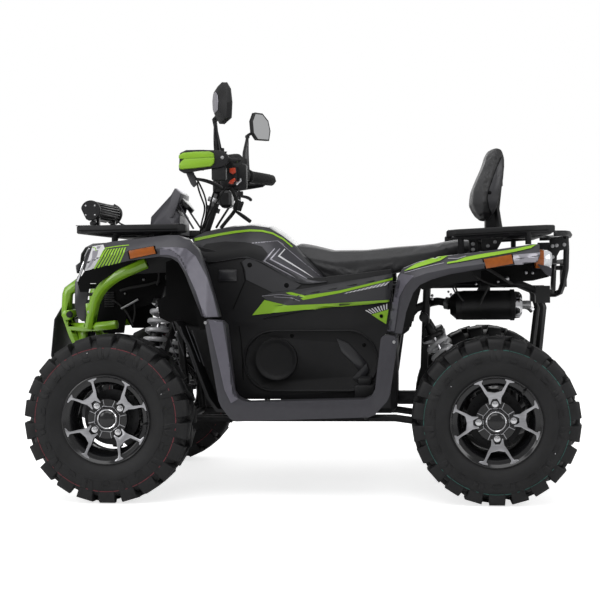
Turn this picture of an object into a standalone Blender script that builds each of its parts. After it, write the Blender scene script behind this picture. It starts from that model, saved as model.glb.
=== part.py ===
"""Two-up utility quad bike, built from separate pieces in metres.

Front is -X, the vehicle's left side is -Y and +Z is up. The origin is on the ground, midway
between the axles. Wheels spin about Y, the handlebar turns about its leaning column, and each
front knuckle turns about an upright kingpin.
"""
import math

import bmesh
import bpy
from mathutils import Matrix, Vector

# Running gear
WHEELBASE = 1.28
FRONT_X = -WHEELBASE / 2
REAR_X = WHEELBASE / 2
FRONT_TYRE_RADIUS = 0.281
FRONT_TYRE_WIDTH = 0.18
FRONT_TRACK_HALF = 0.44
REAR_TYRE_RADIUS = 0.273
REAR_TYRE_WIDTH = 0.25
REAR_TRACK_HALF = 0.40
LUG_HEIGHT = 0.016
LUGS_PER_ROW = 22
RIM_SEAT_RADIUS = 0.127
RIM_FLANGE_RADIUS = 0.145
RIM_WALL = 0.009
FRONT_RIM_WIDTH = 0.132
REAR_RIM_WIDTH = 0.20
RIM_STEPS = 16
SPOKE_THICKNESS = 0.014
HUB_RADIUS = 0.040
BRAKE_DISC_RADIUS = 0.078
HALF_SHAFT_RADIUS = 0.0125

# Steering
KINGPIN_Y = 0.37
COLUMN_LEAN = math.radians(20.0)
COLUMN_TOP = Vector((-0.338, 0.0, 1.085))
COLUMN_RADIUS = 0.016
COLUMN_FOOT_Z = 0.38
STEERING_ARM = 0.115
PITMAN_RADIUS = STEERING_ARM * 0.85
BALL_HEIGHT = 0.0955
BALL_EYE_HALF = 0.0135
TIE_ROD_RADIUS = 0.008
TIE_ROD_Z = 0.325
BAR_RADIUS = 0.011
GRIP_RADIUS = 0.0175
GRIP_LENGTH = 0.12
BAR_HALF = 0.40
GRIP_END = 0.012
POD_RADIUS = 0.026

# Frame and engine
RAIL_RADIUS = 0.014
LOWER_RAIL_Z = 0.240
REAR_RAIL_Z = 0.205
LOWER_RAIL_Y = 0.13
UPPER_RAIL_Z = 0.712
FRONT_SHOCK_BAR = (-0.490, 0.750)
REAR_SHOCK_BAR = (0.408, 0.600)
UPPER_RAIL_Y = 0.11
ENGINE_LENGTH = 0.42
ENGINE_WIDTH = 0.26
ENGINE_HEIGHT = 0.34
ENGINE_X = 0.10
GEARCASE_RADIUS = 0.072

# Body panels
PANEL_WALL = 0.0045
FLARE_Y = 0.50
FLARE_CREST_Y = 0.45
FOOTWELL_INNER_Y = 0.245
FOOTWELL_FLOOR_Z = 0.305
SEAT_NOSE_X = -0.060
SEAT_NOSE_Z = 0.871
SEAT_NOSE_SLOPE = 0.914
RACK_HEIGHT = 0.034
FRONT_RACK_TOP = 0.934
REAR_RACK_TOP = 0.902
FRONT_RACK_HALF = 0.385
REAR_RACK_HALF = 0.385
BUMPER_RADIUS = 0.0165
SEAT_GAP = 0.0003

SMALL_FACETS = 1
ROUND_FACETS = 2
KNEE = 0.035

for old in list(bpy.data.objects):
    bpy.data.objects.remove(old, do_unlink=True)

quad = bpy.data.collections.new("quad_bike")
bpy.context.scene.collection.children.link(quad)
workshop = bpy.data.collections.new("joined_and_cutting_forms")
bpy.context.scene.collection.children.link(workshop)


# Colours and finishes
def finish(name, colour, roughness=0.5, metallic=0.0, alpha=1.0):
    material = bpy.data.materials.new(name)
    material.use_nodes = True
    shader = material.node_tree.nodes["Principled BSDF"]
    shader.inputs["Base Color"].default_value = (*colour, 1.0)
    shader.inputs["Roughness"].default_value = roughness
    shader.inputs["Metallic"].default_value = metallic
    shader.inputs["Alpha"].default_value = alpha
    return material


GREEN = (0.23, 0.45, 0.02)
GREY = (0.085, 0.08, 0.095)
BLACK = (0.012, 0.012, 0.013)
STEEL = (0.02, 0.02, 0.022)
VINYL = (0.03, 0.03, 0.032)
RUBBER = (0.014, 0.014, 0.015)


# Shape makers
def place_in(collection, obj):
    for owner in list(obj.users_collection):
        owner.objects.unlink(obj)
    collection.objects.link(obj)
    return obj


def from_bmesh(name, bm, collection=None):
    """Closes a bmesh into an object with its faces pointing out."""
    bmesh.ops.remove_doubles(bm, verts=bm.verts, dist=1e-6)
    bmesh.ops.recalc_face_normals(bm, faces=bm.faces)
    mesh = bpy.data.meshes.new(name)
    bm.to_mesh(mesh)
    bm.free()
    obj = bpy.data.objects.new(name, mesh)
    (collection or workshop).objects.link(obj)
    return obj


def evaluated_copy(obj, name):
    """A plain mesh object of what the modifiers or the curve make, welded, in world space."""
    graph = bpy.context.evaluated_depsgraph_get()
    mesh = bpy.data.meshes.new_from_object(obj.evaluated_get(graph))
    mesh.transform(obj.matrix_world)
    bm = bmesh.new()
    bm.from_mesh(mesh)
    bmesh.ops.remove_doubles(bm, verts=bm.verts, dist=1e-5)
    bm.to_mesh(mesh)
    bm.free()
    mesh.name = name
    copy = bpy.data.objects.new(name, mesh)
    workshop.objects.link(copy)
    return copy


def bake(obj, name):
    """Replaces an object by its evaluated copy under the given name."""
    copy = evaluated_copy(obj, name)
    bpy.data.objects.remove(obj, do_unlink=True)
    copy.name = name
    return copy


def rounded(points, radius, steps=2):
    """Puts an arc of short chords at each inner corner of a route of straight runs."""
    route = [Vector(points[0])]
    for before, corner, after in zip(points, points[1:], points[2:]):
        corner = Vector(corner)
        inward = Vector(before) - corner
        outward = Vector(after) - corner
        reach = min(radius, inward.length * 0.45, outward.length * 0.45)
        start = corner + inward.normalized() * reach
        end = corner + outward.normalized() * reach
        for i in range(steps + 1):
            t = i / steps
            route.append(start * (1 - t) ** 2 + corner * 2 * t * (1 - t) + end * t ** 2)
    route.append(Vector(points[-1]))
    return route


def pipe(name, points, radius, knee=KNEE, facets=SMALL_FACETS, knee_steps=1):
    """A round tube or rod along a route, as a welded mesh."""
    data = bpy.data.curves.new(name, "CURVE")
    data.dimensions = "3D"
    data.bevel_depth = radius
    data.bevel_resolution = facets
    data.use_fill_caps = True
    spline = data.splines.new("POLY")
    route = rounded(points, knee, knee_steps) if len(points) > 2 else [Vector(p) for p in points]
    spline.points.add(len(route) - 1)
    for point, spot in zip(spline.points, route):
        point.co = (*spot, 1.0)
    curve = bpy.data.objects.new(name, data)
    workshop.objects.link(curve)
    bpy.context.view_layer.update()
    return bake(curve, name)


SIDE = Matrix.Rotation(math.radians(90), 4, "X")
FRONT = Matrix(((0, 0, 1, 0), (1, 0, 0, 0), (0, 1, 0, 0), (0, 0, 0, 1)))
PLAN = Matrix.Identity(4)


def plane_sign(plane):
    """Plus or minus one, so that a plate's low and high count along the positive axis."""
    return 1 if sum(plane.col[2].xyz) > 0 else -1


def plate(name, outlines, low, high, plane=SIDE):
    """A flat outline, with any holes, thick from low to high across its plane."""
    data = bpy.data.curves.new(name, "CURVE")
    data.dimensions = "2D"
    data.fill_mode = "BOTH"
    data.extrude = (high - low) / 2
    for outline in outlines:
        spline = data.splines.new("POLY")
        spline.points.add(len(outline) - 1)
        for point, spot in zip(spline.points, outline):
            point.co = (spot[0], spot[1], 0.0, 1.0)
        spline.use_cyclic_u = True
    curve = bpy.data.objects.new(name, data)
    curve.matrix_world = Matrix.Translation(plane.col[2].xyz * plane_sign(plane) * (low + high) / 2) @ plane
    workshop.objects.link(curve)
    bpy.context.view_layer.update()
    return bake(curve, name)


def loft(name, sections, closed=True, wall=None, offset=-1.0):
    """A skin over sections of equal point count; a wall makes it a shell."""
    bm = bmesh.new()
    rows = [[bm.verts.new(p) for p in section] for section in sections]
    count = len(sections[0])
    spans = count if closed else count - 1
    for row, following in zip(rows, rows[1:]):
        for i in range(spans):
            j = (i + 1) % count
            bm.faces.new((row[i], row[j], following[j], following[i]))
    if closed:
        bm.faces.new(rows[0])
        bm.faces.new(rows[-1])
    if wall is None:
        return from_bmesh(name, bm)
    mesh = bpy.data.meshes.new(name)
    bm.to_mesh(mesh)
    bm.free()
    obj = bpy.data.objects.new(name, mesh)
    workshop.objects.link(obj)
    shell = obj.modifiers.new("wall", "SOLIDIFY")
    shell.thickness = wall
    shell.offset = offset
    bpy.context.view_layer.update()
    return bake(obj, name)


def block(name, low, high, soften=0.0):
    """A box between two corners, with softened edges."""
    bm = bmesh.new()
    bmesh.ops.create_cube(bm, size=1.0)
    low, high = Vector(low), Vector(high)
    for vertex in bm.verts:
        vertex.co = Vector(low[i] + (vertex.co[i] + 0.5) * (high[i] - low[i]) for i in range(3))
    if soften:
        bmesh.ops.bevel(bm, geom=bm.edges[:], offset=soften, segments=1, affect="EDGES")
    return from_bmesh(name, bm)


def turned(name, profile, axis_start, axis, steps):
    """A closed (radius, distance) profile turned about an axis."""
    bm = bmesh.new()
    side = axis.orthogonal().normalized() if abs(axis.y) < 0.99 else Vector((1, 0, 0))
    ring = [bm.verts.new(axis_start + axis * y + side * r) for r, y in profile]
    edges = [bm.edges.new((ring[i], ring[(i + 1) % len(ring)])) for i in range(len(ring))]
    bmesh.ops.spin(bm, geom=ring + edges, cent=axis_start, axis=axis, angle=math.tau,
                   steps=steps, use_merge=True)
    return from_bmesh(name, bm)


def rod(name, start, end, radius, facets=10, end_radius=None):
    """A solid cylinder or cone between two points."""
    start, end = Vector(start), Vector(end)
    span = end - start
    bm = bmesh.new()
    bmesh.ops.create_cone(bm, cap_ends=True, segments=facets, radius1=radius,
                          radius2=radius if end_radius is None else end_radius, depth=span.length)
    turn = span.to_track_quat("Z", "Y").to_matrix().to_4x4()
    bm.transform(Matrix.Translation((start + end) / 2) @ turn)
    return from_bmesh(name, bm)


def combine(name, base, others, operation="UNION"):
    """Boolean of a base with others, kept as one welded mesh."""
    tools = bpy.data.collections.new("tools")
    workshop.children.link(tools)
    for other in others:
        place_in(tools, other)
    step = base.modifiers.new("join", "BOOLEAN")
    step.operation = operation
    step.solver = "EXACT"
    step.operand_type = "COLLECTION"
    step.collection = tools
    bpy.context.view_layer.update()
    joined = bake(base, name)
    for other in others:
        bpy.data.objects.remove(other, do_unlink=True)
    bpy.data.collections.remove(tools)
    return joined


def soften_edges(obj, width, segments=1, angle=30):
    """Rounds the sharp edges of a closed mesh."""
    bevel = obj.modifiers.new("soft", "BEVEL")
    bevel.width = width
    bevel.segments = segments
    bevel.limit_method = "ANGLE"
    bevel.angle_limit = math.radians(angle)
    bpy.context.view_layer.update()
    return bake(obj, obj.name)


def across(point):
    return Vector((point[0], -point[1], point[2]))


def mirrored(obj, name):
    """The same piece on the other side of the vehicle."""
    mesh = obj.data.copy()
    mesh.transform(Matrix.Scale(-1, 4, (0, 1, 0)))
    mesh.flip_normals()
    copy = bpy.data.objects.new(name, mesh)
    workshop.objects.link(copy)
    return copy


def add_part(obj, name, material):
    """Files a finished piece under its node's name."""
    obj.name = name
    obj.data.name = name
    obj.data.materials.clear()
    obj.data.materials.append(material)
    obj.data.shade_smooth()
    obj.data.set_sharp_from_angle(angle=math.radians(35))
    return place_in(quad, obj)


def add_pair(left, stem, material):
    right = mirrored(left, stem + "_right")
    add_part(left, stem + "_left", material)
    add_part(right, stem + "_right", material)


# Wheels
def sidewall_offset(radius, tyre, rim_width):
    """Half width of the tyre's lower sidewall at a radius."""
    t = (radius - RIM_SEAT_RADIUS) / (0.72 * tyre["radius"] - RIM_SEAT_RADIUS)
    return rim_width / 2 + t * (tyre["width"] / 2 - rim_width / 2)


def make_tyre(name, tyre, centre):
    """Turned carcass with three staggered rows of lugs."""
    half = tyre["width"] / 2
    base = tyre["radius"] - LUG_HEIGHT
    bead = tyre["rim_width"] / 2
    profile = [(RIM_SEAT_RADIUS + 0.0004, bead), (0.72 * tyre["radius"], half),
               (base - 0.022, half * 0.95), (base, half * 0.40)]
    profile += [(r, -y) for r, y in reversed(profile)]
    steps = LUGS_PER_ROW * 2
    obj = turned(name, profile, centre, Vector((0, 1, 0)), steps)
    bm = bmesh.new()
    bm.from_mesh(obj.data)
    step_angle = math.tau / steps
    for vertex in bm.verts:
        local = vertex.co - centre
        radius = math.hypot(local.x, local.z)
        if radius > base - 0.002:
            twist = Matrix.Rotation(step_angle * 0.6, 3, "Y")
            vertex.co = centre + twist @ local
    shoulder = []
    middle = []
    for face in bm.faces:
        spot = face.calc_center_median() - centre
        radius = math.hypot(spot.x, spot.z)
        index = int(round(math.atan2(spot.z, spot.x) / step_angle - 0.5)) % steps
        if radius > base - 0.004 and abs(spot.y) < 0.01:
            if index % 2 == 0:
                middle.append(face)
        elif radius > base - 0.016 and (index % 2 == 0) == (spot.y > 0):
            shoulder.append(face)
    for group, rise in ((shoulder, LUG_HEIGHT), (middle, LUG_HEIGHT * 0.9)):
        raised = bmesh.ops.extrude_discrete_faces(bm, faces=group)["faces"]
        for face in raised:
            middle_point = face.calc_center_median()
            for vertex in face.verts:
                local = vertex.co - centre
                radius = math.hypot(local.x, local.z)
                top = tyre["radius"] if radius > base - 0.002 else tyre["radius"] - 0.010
                grow = (radius + rise if rise < LUG_HEIGHT else top) / radius
                shrink = (middle_point - vertex.co) * 0.10
                vertex.co = centre + Vector((local.x * grow, local.y, local.z * grow)) + shrink
    bm.to_mesh(obj.data)
    bm.free()
    limit = tyre["radius"]
    for vertex in obj.data.vertices:
        local = vertex.co - centre
        radius = math.hypot(local.x, local.z)
        if radius > limit:
            vertex.co = centre + Vector((local.x, local.y * radius / limit, local.z)) * (limit / radius)
    add_part(obj, name, finish(name, RUBBER, 0.75))


def spoke_star(turn):
    """Outline of four forked spokes whose T tips meet the rim."""
    tip = RIM_SEAT_RADIUS - 0.004
    fork = [(HUB_RADIUS * 0.95, -45), (0.048, -16), (0.070, -16), (0.110, -28), (tip, -33), (tip, -15),
            (0.076, -4)]
    outline = []
    for spoke in range(4):
        one = fork + [(r, -a) for r, a in reversed(fork[1:])]
        for r, a in one:
            angle = math.radians(a + 90 * spoke + turn)
            outline.append((r * math.cos(angle), r * math.sin(angle)))
    return outline


def make_rim(name, tyre, centre, side, turn, shaft_end=None):
    """Barrel with two flanges, forked spokes, hub, cap and brake disc; a rear one has its shaft."""
    bead = tyre["rim_width"] / 2
    clear = 0.0008
    lip = sidewall_offset(RIM_FLANGE_RADIUS, tyre, tyre["rim_width"]) + clear
    inner = RIM_SEAT_RADIUS - RIM_WALL
    half = [(RIM_SEAT_RADIUS, bead + clear), (RIM_FLANGE_RADIUS, lip),
            (RIM_FLANGE_RADIUS, lip + 0.006), (inner, bead + 0.003)]
    profile = half + [(r, -y) for r, y in reversed(half)]
    out = Vector((0, side, 0))
    barrel = turned(name, profile, centre, out, RIM_STEPS)
    face = bead - 0.006
    star = plate("star", [spoke_star(turn)], face - SPOKE_THICKNESS, face)
    star.data.transform(Matrix.Scale(side, 4, (0, 1, 0)))
    if side < 0:
        star.data.flip_normals()
    star.data.transform(Matrix.Translation(centre))
    hub = rod("hub", centre - out * 0.010, centre + out * (face + 0.006), HUB_RADIUS, 10)
    cap = rod("cap", centre + out * face, centre + out * (face + 0.018), HUB_RADIUS * 0.66, 8)
    disc = rod("disc", centre - out * 0.006, centre - out * 0.002, BRAKE_DISC_RADIUS, 14)
    forms = [star, hub, cap, disc]
    if shaft_end is not None:
        forms.append(half_shaft(centre - out * 0.004, centre - out * shaft_end, out))
    rim = combine(name, barrel, forms)
    add_part(rim, name, finish(name, (0.03, 0.03, 0.032), 0.35, 0.8))


def half_shaft(start, end, out):
    """Driven axle with a pleated boot at its inner end."""
    length = (end - start).length
    shaft = HALF_SHAFT_RADIUS
    profile = [(0.0001, 0.0), (shaft, 0.0), (shaft, length * 0.52), (0.028, length * 0.57),
               (0.021, length * 0.64), (0.034, length * 0.71), (0.025, length * 0.78),
               (0.038, length * 0.85), (0.038, length), (0.0001, length)]
    bm = bmesh.new()
    ring = [bm.verts.new(start - out * y + Vector((r, 0, 0))) for r, y in profile]
    edges = [bm.edges.new((a, b)) for a, b in zip(ring, ring[1:])]
    bmesh.ops.spin(bm, geom=ring + edges, cent=start, axis=out, angle=math.tau, steps=8, use_merge=True)
    bmesh.ops.remove_doubles(bm, verts=bm.verts, dist=0.0005)
    return from_bmesh("shaft", bm)


FRONT_WHEEL = {"radius": FRONT_TYRE_RADIUS, "width": FRONT_TYRE_WIDTH, "rim_width": FRONT_RIM_WIDTH}
REAR_WHEEL = {"radius": REAR_TYRE_RADIUS, "width": REAR_TYRE_WIDTH, "rim_width": REAR_RIM_WIDTH}
GEARCASE_HALF = LOWER_RAIL_Y - RAIL_RADIUS - SEAT_GAP


def make_wheels():
    for side, word in ((-1, "left"), (1, "right")):
        front = Vector((FRONT_X, side * FRONT_TRACK_HALF, FRONT_TYRE_RADIUS))
        rear = Vector((REAR_X, side * REAR_TRACK_HALF, REAR_TYRE_RADIUS))
        make_tyre("tyre_front_" + word, FRONT_WHEEL, front)
        make_tyre("tyre_rear_" + word, REAR_WHEEL, rear)
        make_rim("rim_front_" + word, FRONT_WHEEL, front, side, 45)
        make_rim("rim_rear_" + word, REAR_WHEEL, rear, side, 0,
                 REAR_TRACK_HALF - GEARCASE_HALF - 2 * SEAT_GAP)


# Steering
def column_point(z):
    """The point of the column's centre line at a height."""
    return Vector((COLUMN_TOP.x - (COLUMN_TOP.z - z) * math.tan(COLUMN_LEAN), 0.0, z))


COLUMN_AXIS = Vector((math.sin(COLUMN_LEAN), 0, math.cos(COLUMN_LEAN)))
COLUMN_BACK = Vector((math.cos(COLUMN_LEAN), 0, -math.sin(COLUMN_LEAN)))
GRIP_INNER = Vector((-0.285, BAR_HALF - GRIP_LENGTH, 1.145))
GRIP_OUTER = Vector((-0.212, BAR_HALF, 1.138))


def make_handlebar():
    """Column, pitman plate, clamp, bent bar, grips, levers, switch pods and key."""
    foot = column_point(COLUMN_FOOT_Z)
    column = pipe("handlebar", [foot, COLUMN_TOP + COLUMN_AXIS * 0.012], COLUMN_RADIUS, facets=ROUND_FACETS)
    lever_y = GRIP_INNER.y - 0.03
    forms = [
        rod("pitman_boss", foot - COLUMN_AXIS * 0.004, foot + COLUMN_AXIS * 0.02, 0.024),
        pipe("pitman", [across(pitman_pin()), pitman_pin() * 0.5 + foot * 0.5, foot], 0.009, 0.01),
        pipe("pitman_right", [pitman_pin(), pitman_pin() * 0.5 + foot * 0.5, foot], 0.009, 0.01),
        block("clamp", COLUMN_TOP + Vector((-0.022, -0.055, -0.03)),
              COLUMN_TOP + Vector((0.026, 0.055, 0.022)), 0.006),
        rod("collar", column_point(1.0) - COLUMN_AXIS * 0.009, column_point(1.0) + COLUMN_AXIS * 0.009,
            0.026),
        block("key_pod", COLUMN_TOP + Vector((0.010, -0.10, -0.085)),
              COLUMN_TOP + Vector((0.055, -0.035, -0.022)), 0.010),
    ]
    bar = [across(GRIP_OUTER), across(GRIP_INNER), COLUMN_TOP + Vector((0, -0.10, 0.004)),
           COLUMN_TOP + Vector((0, 0.10, 0.004)), GRIP_INNER, GRIP_OUTER]
    forms.append(pipe("bar", bar, BAR_RADIUS, 0.05, ROUND_FACETS))
    for mirror in (Vector, across):
        inner, outer = mirror(GRIP_INNER), mirror(GRIP_OUTER)
        along = (outer - inner).normalized()
        forms.append(rod("grip", inner, outer + along * GRIP_END, GRIP_RADIUS, 10))
        forms.append(rod("pod", inner - along * 0.050, inner - along * 0.010, POD_RADIUS, 8))
        pivot = inner - along * 0.045
        reach = pivot + Vector((-0.050, 0, -0.012))
        forms.append(pipe("lever", [pivot, reach, mirror((outer.x - 0.060, BAR_HALF - 0.015, outer.z - 0.01))],
                          0.006, 0.02))
    bar = combine("handlebar", column, forms)
    add_part(bar, "handlebar", finish("handlebar", STEEL, 0.4, 0.6))


def pitman_pin():
    return column_point(COLUMN_FOOT_Z) + COLUMN_BACK * PITMAN_RADIUS + Vector((0, 0.028, 0))


def make_hand_guards():
    """Wind guard shells in front of the grips, on a stay from the bar."""
    sections = []
    for y, front, rise, drop in ((0.435, -0.300, 0.016, -0.016), (0.415, -0.385, 0.026, -0.024),
                                 (0.350, -0.405, 0.030, -0.026), (0.285, -0.400, 0.026, -0.022)):
        back = front + 0.020
        sections.append([Vector((front, -y, 1.145 + drop)), Vector((front, -y, 1.145 + rise)),
                         Vector((back + 0.045, -y, 1.145 + rise + 0.004)),
                         Vector((back + 0.040, -y, 1.145 + rise - 0.004)),
                         Vector((back - 0.010, -y, 1.145 + rise - 0.010)),
                         Vector((back - 0.010, -y, 1.145 + drop + 0.008)),
                         Vector((back + 0.030, -y, 1.145 + drop + 0.002)),
                         Vector((back + 0.035, -y, 1.145 + drop - 0.006))])
    shell = loft("guard", sections)
    along = (across(GRIP_OUTER) - across(GRIP_INNER)).normalized()
    end = across(GRIP_OUTER) + along * (GRIP_END + SEAT_GAP)
    stay = pipe("stay", [end, end + along * 0.026, Vector((-0.300, -0.434, 1.145))], 0.008, 0.010)
    guard = combine("guard", shell, [stay])
    add_pair(guard, "hand_guard", finish("hand_guard", GREEN, 0.3))


def make_mirrors():
    """Angular mirror heads on slim stems clamped beside the grips."""
    base = across(GRIP_INNER) + Vector((-0.006, 0.030, POD_RADIUS + 0.0023))
    neck = Vector((-0.290, -0.400, 1.268))
    stem = pipe("stem", [base + Vector((0, 0, 0.002)), base + Vector((-0.004, -0.012, 0.03)), neck,
                         neck + Vector((0.030, 0, 0.010))], 0.0075, 0.02)
    foot = rod("foot", base, base + Vector((0, 0, 0.020)), 0.012, 8)
    outline = [(-0.115, -0.062), (-0.015, -0.070), (0.022, -0.040), (0.030, 0.020), (0.004, 0.066),
               (-0.060, 0.070), (-0.110, 0.040), (-0.128, -0.010)]
    rings = []
    for depth, scale in ((0.0, 1.0), (-0.016, 1.0), (-0.036, 0.60)):
        rings.append([Vector((depth, (y + 0.05) * scale - 0.05, z * scale)) for y, z in outline])
    head = loft("head", rings)
    head.data.transform(Matrix.Translation((-0.255, -0.405, 1.312)) @ Matrix.Rotation(math.radians(25), 4, "Z"))
    mirror = combine("mirror", stem, [foot, head])
    add_pair(mirror, "mirror", finish("mirror", BLACK, 0.35))


def knuckle_pin(side):
    """Where the steering arm carries the tie rod's ball joint."""
    return Vector((FRONT_X + STEERING_ARM, side * (KINGPIN_Y - 0.035), TIE_ROD_Z))


def make_knuckles():
    """Upright with bearing boss, ball joint ends, steering arm and brake calliper."""
    centre = Vector((FRONT_X, -KINGPIN_Y, FRONT_TYRE_RADIUS))
    reach = Vector((0, 0, BALL_HEIGHT - BALL_EYE_HALF - SEAT_GAP))
    shoulder = reach - Vector((0, 0, 0.005))
    upright = pipe("knuckle", [centre - shoulder, centre + shoulder], 0.014, facets=ROUND_FACETS)
    boss_end = -(FRONT_TRACK_HALF - 0.0105)
    pin = knuckle_pin(-1)
    forms = [
        rod("ball_pins", centre - reach, centre + reach, 0.006, 8),
        rod("boss", centre + Vector((0, 0.012, 0)), Vector((FRONT_X, boss_end, FRONT_TYRE_RADIUS)), 0.030, 12),
        pipe("steering_arm", [centre + Vector((0, 0, 0.01)), pin + Vector((-0.03, 0, -0.019)),
                              pin + Vector((0, 0, -0.019))], 0.009, 0.02),
        rod("arm_eye", pin - Vector((0, 0, 0.027)), pin - Vector((0, 0, 0.0085)), 0.012, 10),
    ]
    disc_y = -(FRONT_TRACK_HALF - 0.004)
    calliper = block("calliper", (FRONT_X + 0.040, disc_y - 0.022, centre.z + 0.028),
                     (FRONT_X + 0.083, disc_y + 0.028, centre.z + 0.071))
    slot = rod("slot", (FRONT_X, disc_y - 0.0075, centre.z), (FRONT_X, disc_y + 0.0075, centre.z),
               BRAKE_DISC_RADIUS + 0.005, 24)
    calliper = combine("calliper", calliper, [slot], "DIFFERENCE")
    forms.append(calliper)
    forms.append(pipe("calliper_arm", [centre + Vector((0.0, -0.030, 0.0)),
                                       Vector((FRONT_X + 0.055, disc_y + 0.020, centre.z + 0.045))], 0.009))
    knuckle = combine("knuckle", upright, forms)
    add_pair(knuckle, "knuckle", finish("knuckle", STEEL, 0.5, 0.6))


def make_tie_rods():
    """Rods from the steering arms to the pitman, open at the pitman's pins."""
    outer = knuckle_pin(-1)
    inner = across(pitman_pin())
    along = (inner - outer).normalized()
    shaft = pipe("tie_rod", [outer, inner - along * 0.022], TIE_ROD_RADIUS)
    eye = rod("ball_socket", outer - Vector((0, 0, 0.008)), outer + Vector((0, 0, 0.012)), 0.013, 10)
    rod_left = combine("tie_rod", shaft, [eye])
    add_pair(rod_left, "tie_rod", finish("tie_rod", STEEL, 0.4, 0.8))


# Chassis
def make_frame():
    """Welded tube frame with two lower rails, two upper rails, hoops and cross tubes."""
    low_y, high_y = LOWER_RAIL_Y, UPPER_RAIL_Y
    lower = [(-0.800, -low_y, 0.560), (-0.790, -low_y, 0.330), (-0.700, -low_y, LOWER_RAIL_Z),
             (0.360, -low_y, LOWER_RAIL_Z), (0.480, -low_y, REAR_RAIL_Z), (0.760, -low_y, REAR_RAIL_Z),
             (0.800, -low_y, 0.40)]
    upper = [(-0.800, -low_y, 0.560), (-0.780, -low_y, 0.700), (-0.560, -high_y, 0.760),
             (-0.430, -high_y, 0.748), (-0.340, -high_y, UPPER_RAIL_Z), (0.780, -high_y, UPPER_RAIL_Z),
             (0.830, -high_y, 0.66), (0.800, -low_y, 0.40)]
    base = pipe("frame", lower, RAIL_RADIUS, 0.06)
    forms = [pipe("lower_right", [across(p) for p in lower], RAIL_RADIUS, 0.06)]
    for mirror in (Vector, across):
        forms.append(pipe("upper", [mirror(p) for p in upper], RAIL_RADIUS, 0.06))
        forms.append(pipe("front_post", [mirror((-0.445, -low_y, LOWER_RAIL_Z)),
                                         mirror((-0.490, -high_y, 0.750))], RAIL_RADIUS))
        forms.append(pipe("rear_post", [mirror((0.400, -low_y, LOWER_RAIL_Z)),
                                        mirror((0.420, -high_y, UPPER_RAIL_Z))], RAIL_RADIUS))
        for x, drop in ((-0.205, 0.0218), (0.200, 0.0164)):
            bar_z = FOOTWELL_FLOOR_Z - drop
            forms.append(pipe("footrest_bar", [mirror((x, -low_y, LOWER_RAIL_Z)), mirror((x, -0.245, bar_z)),
                                               mirror((x, -0.43, bar_z))], 0.011))
        forms.append(block("nose_post", mirror((-0.575, -0.110, 0.755)) - Vector((0, 0.012, 0)),
                           mirror((-0.550, -0.110, 0.8808)) + Vector((0, 0.012, 0))))
        forms.append(block("guard_plate", mirror((0.800, -high_y, 0.645)) - Vector((0, 0.018, 0)),
                           mirror((0.850, -high_y, 0.705)) + Vector((0, 0.018, 0))))
    for x, z, half in ((-0.793, 0.42, low_y), (-0.700, LOWER_RAIL_Z, low_y), (0.400, LOWER_RAIL_Z, low_y),
                       (*FRONT_SHOCK_BAR, 0.205), (*REAR_SHOCK_BAR, 0.205),
                       (-0.790, 0.630, low_y), (0.800, 0.43, low_y), (-0.445, LOWER_RAIL_Z, low_y)):
        forms.append(pipe("cross", [(x, -half, z), (x, half, z)], 0.0125))
    forms.append(block("seat_bridge", (0.190, -0.125, 0.700), (0.210, 0.125, 0.7505)))
    bearing_z = 0.80
    bearing = column_point(bearing_z)
    collar = turned("bearing", [(COLUMN_RADIUS + 0.0015, -0.014), (0.026, -0.014), (0.026, 0.014),
                                (COLUMN_RADIUS + 0.0015, 0.014)], bearing, COLUMN_AXIS, 12)
    for side in (-1, 1):
        forms.append(pipe("bearing_stay", [bearing + Vector((0, side * 0.0215, 0)),
                                           (-0.440, side * high_y, 0.745)], 0.008))
    foot_collar_at = column_point(COLUMN_FOOT_Z) + COLUMN_AXIS * 0.045
    foot_collar = turned("foot_bearing", [(COLUMN_RADIUS + 0.0015, -0.012), (0.026, -0.012),
                                          (0.026, 0.012), (COLUMN_RADIUS + 0.0015, 0.012)],
                         foot_collar_at, COLUMN_AXIS, 12)
    for side in (-1, 1):
        forms.append(pipe("foot_stay", [foot_collar_at + Vector((0, side * 0.0215, 0)),
                                        (-0.460, side * (low_y - 0.004), 0.445)], 0.008))
    frame = combine("frame", base, forms + [collar, foot_collar])
    add_part(frame, "frame", finish("frame", STEEL, 0.45, 0.3))


def make_engine():
    """One plain block for the engine, and the rear gearcase between the rails."""
    bottom = LOWER_RAIL_Z + RAIL_RADIUS + SEAT_GAP
    engine = block("engine_block", (ENGINE_X - ENGINE_LENGTH / 2, -ENGINE_WIDTH / 2, bottom),
                   (ENGINE_X + ENGINE_LENGTH / 2, ENGINE_WIDTH / 2, bottom + ENGINE_HEIGHT), 0.02)
    add_part(engine, "engine_block", finish("engine_block", (0.05, 0.05, 0.052), 0.5, 0.5))
    half = GEARCASE_HALF
    profile = [(0.046, -half), (GEARCASE_RADIUS, -half + 0.03), (GEARCASE_RADIUS, half - 0.03),
               (0.046, half), (0.010, half), (0.010, -half)]
    case = turned("rear_gearcase", profile, Vector((REAR_X, 0, REAR_TYRE_RADIUS)), Vector((0, 1, 0)), 16)
    snout_z = REAR_TYRE_RADIUS + 0.027
    plug = rod("plug", (REAR_X, -half + 0.002, REAR_TYRE_RADIUS), (REAR_X, half - 0.002, REAR_TYRE_RADIUS), 0.02)
    snout = rod("snout", (REAR_X - 0.03, 0, snout_z), (ENGINE_X + ENGINE_LENGTH / 2 + SEAT_GAP, 0, snout_z),
                0.026, 10)
    lug = block("lug", (REAR_X - 0.02, -half, REAR_RAIL_Z - 0.009), (REAR_X + 0.02, half, REAR_RAIL_Z + 0.011))
    case = combine("rear_gearcase", case, [plug, snout, lug])
    add_part(case, "rear_gearcase", finish("rear_gearcase", (0.05, 0.05, 0.052), 0.5, 0.6))


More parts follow.
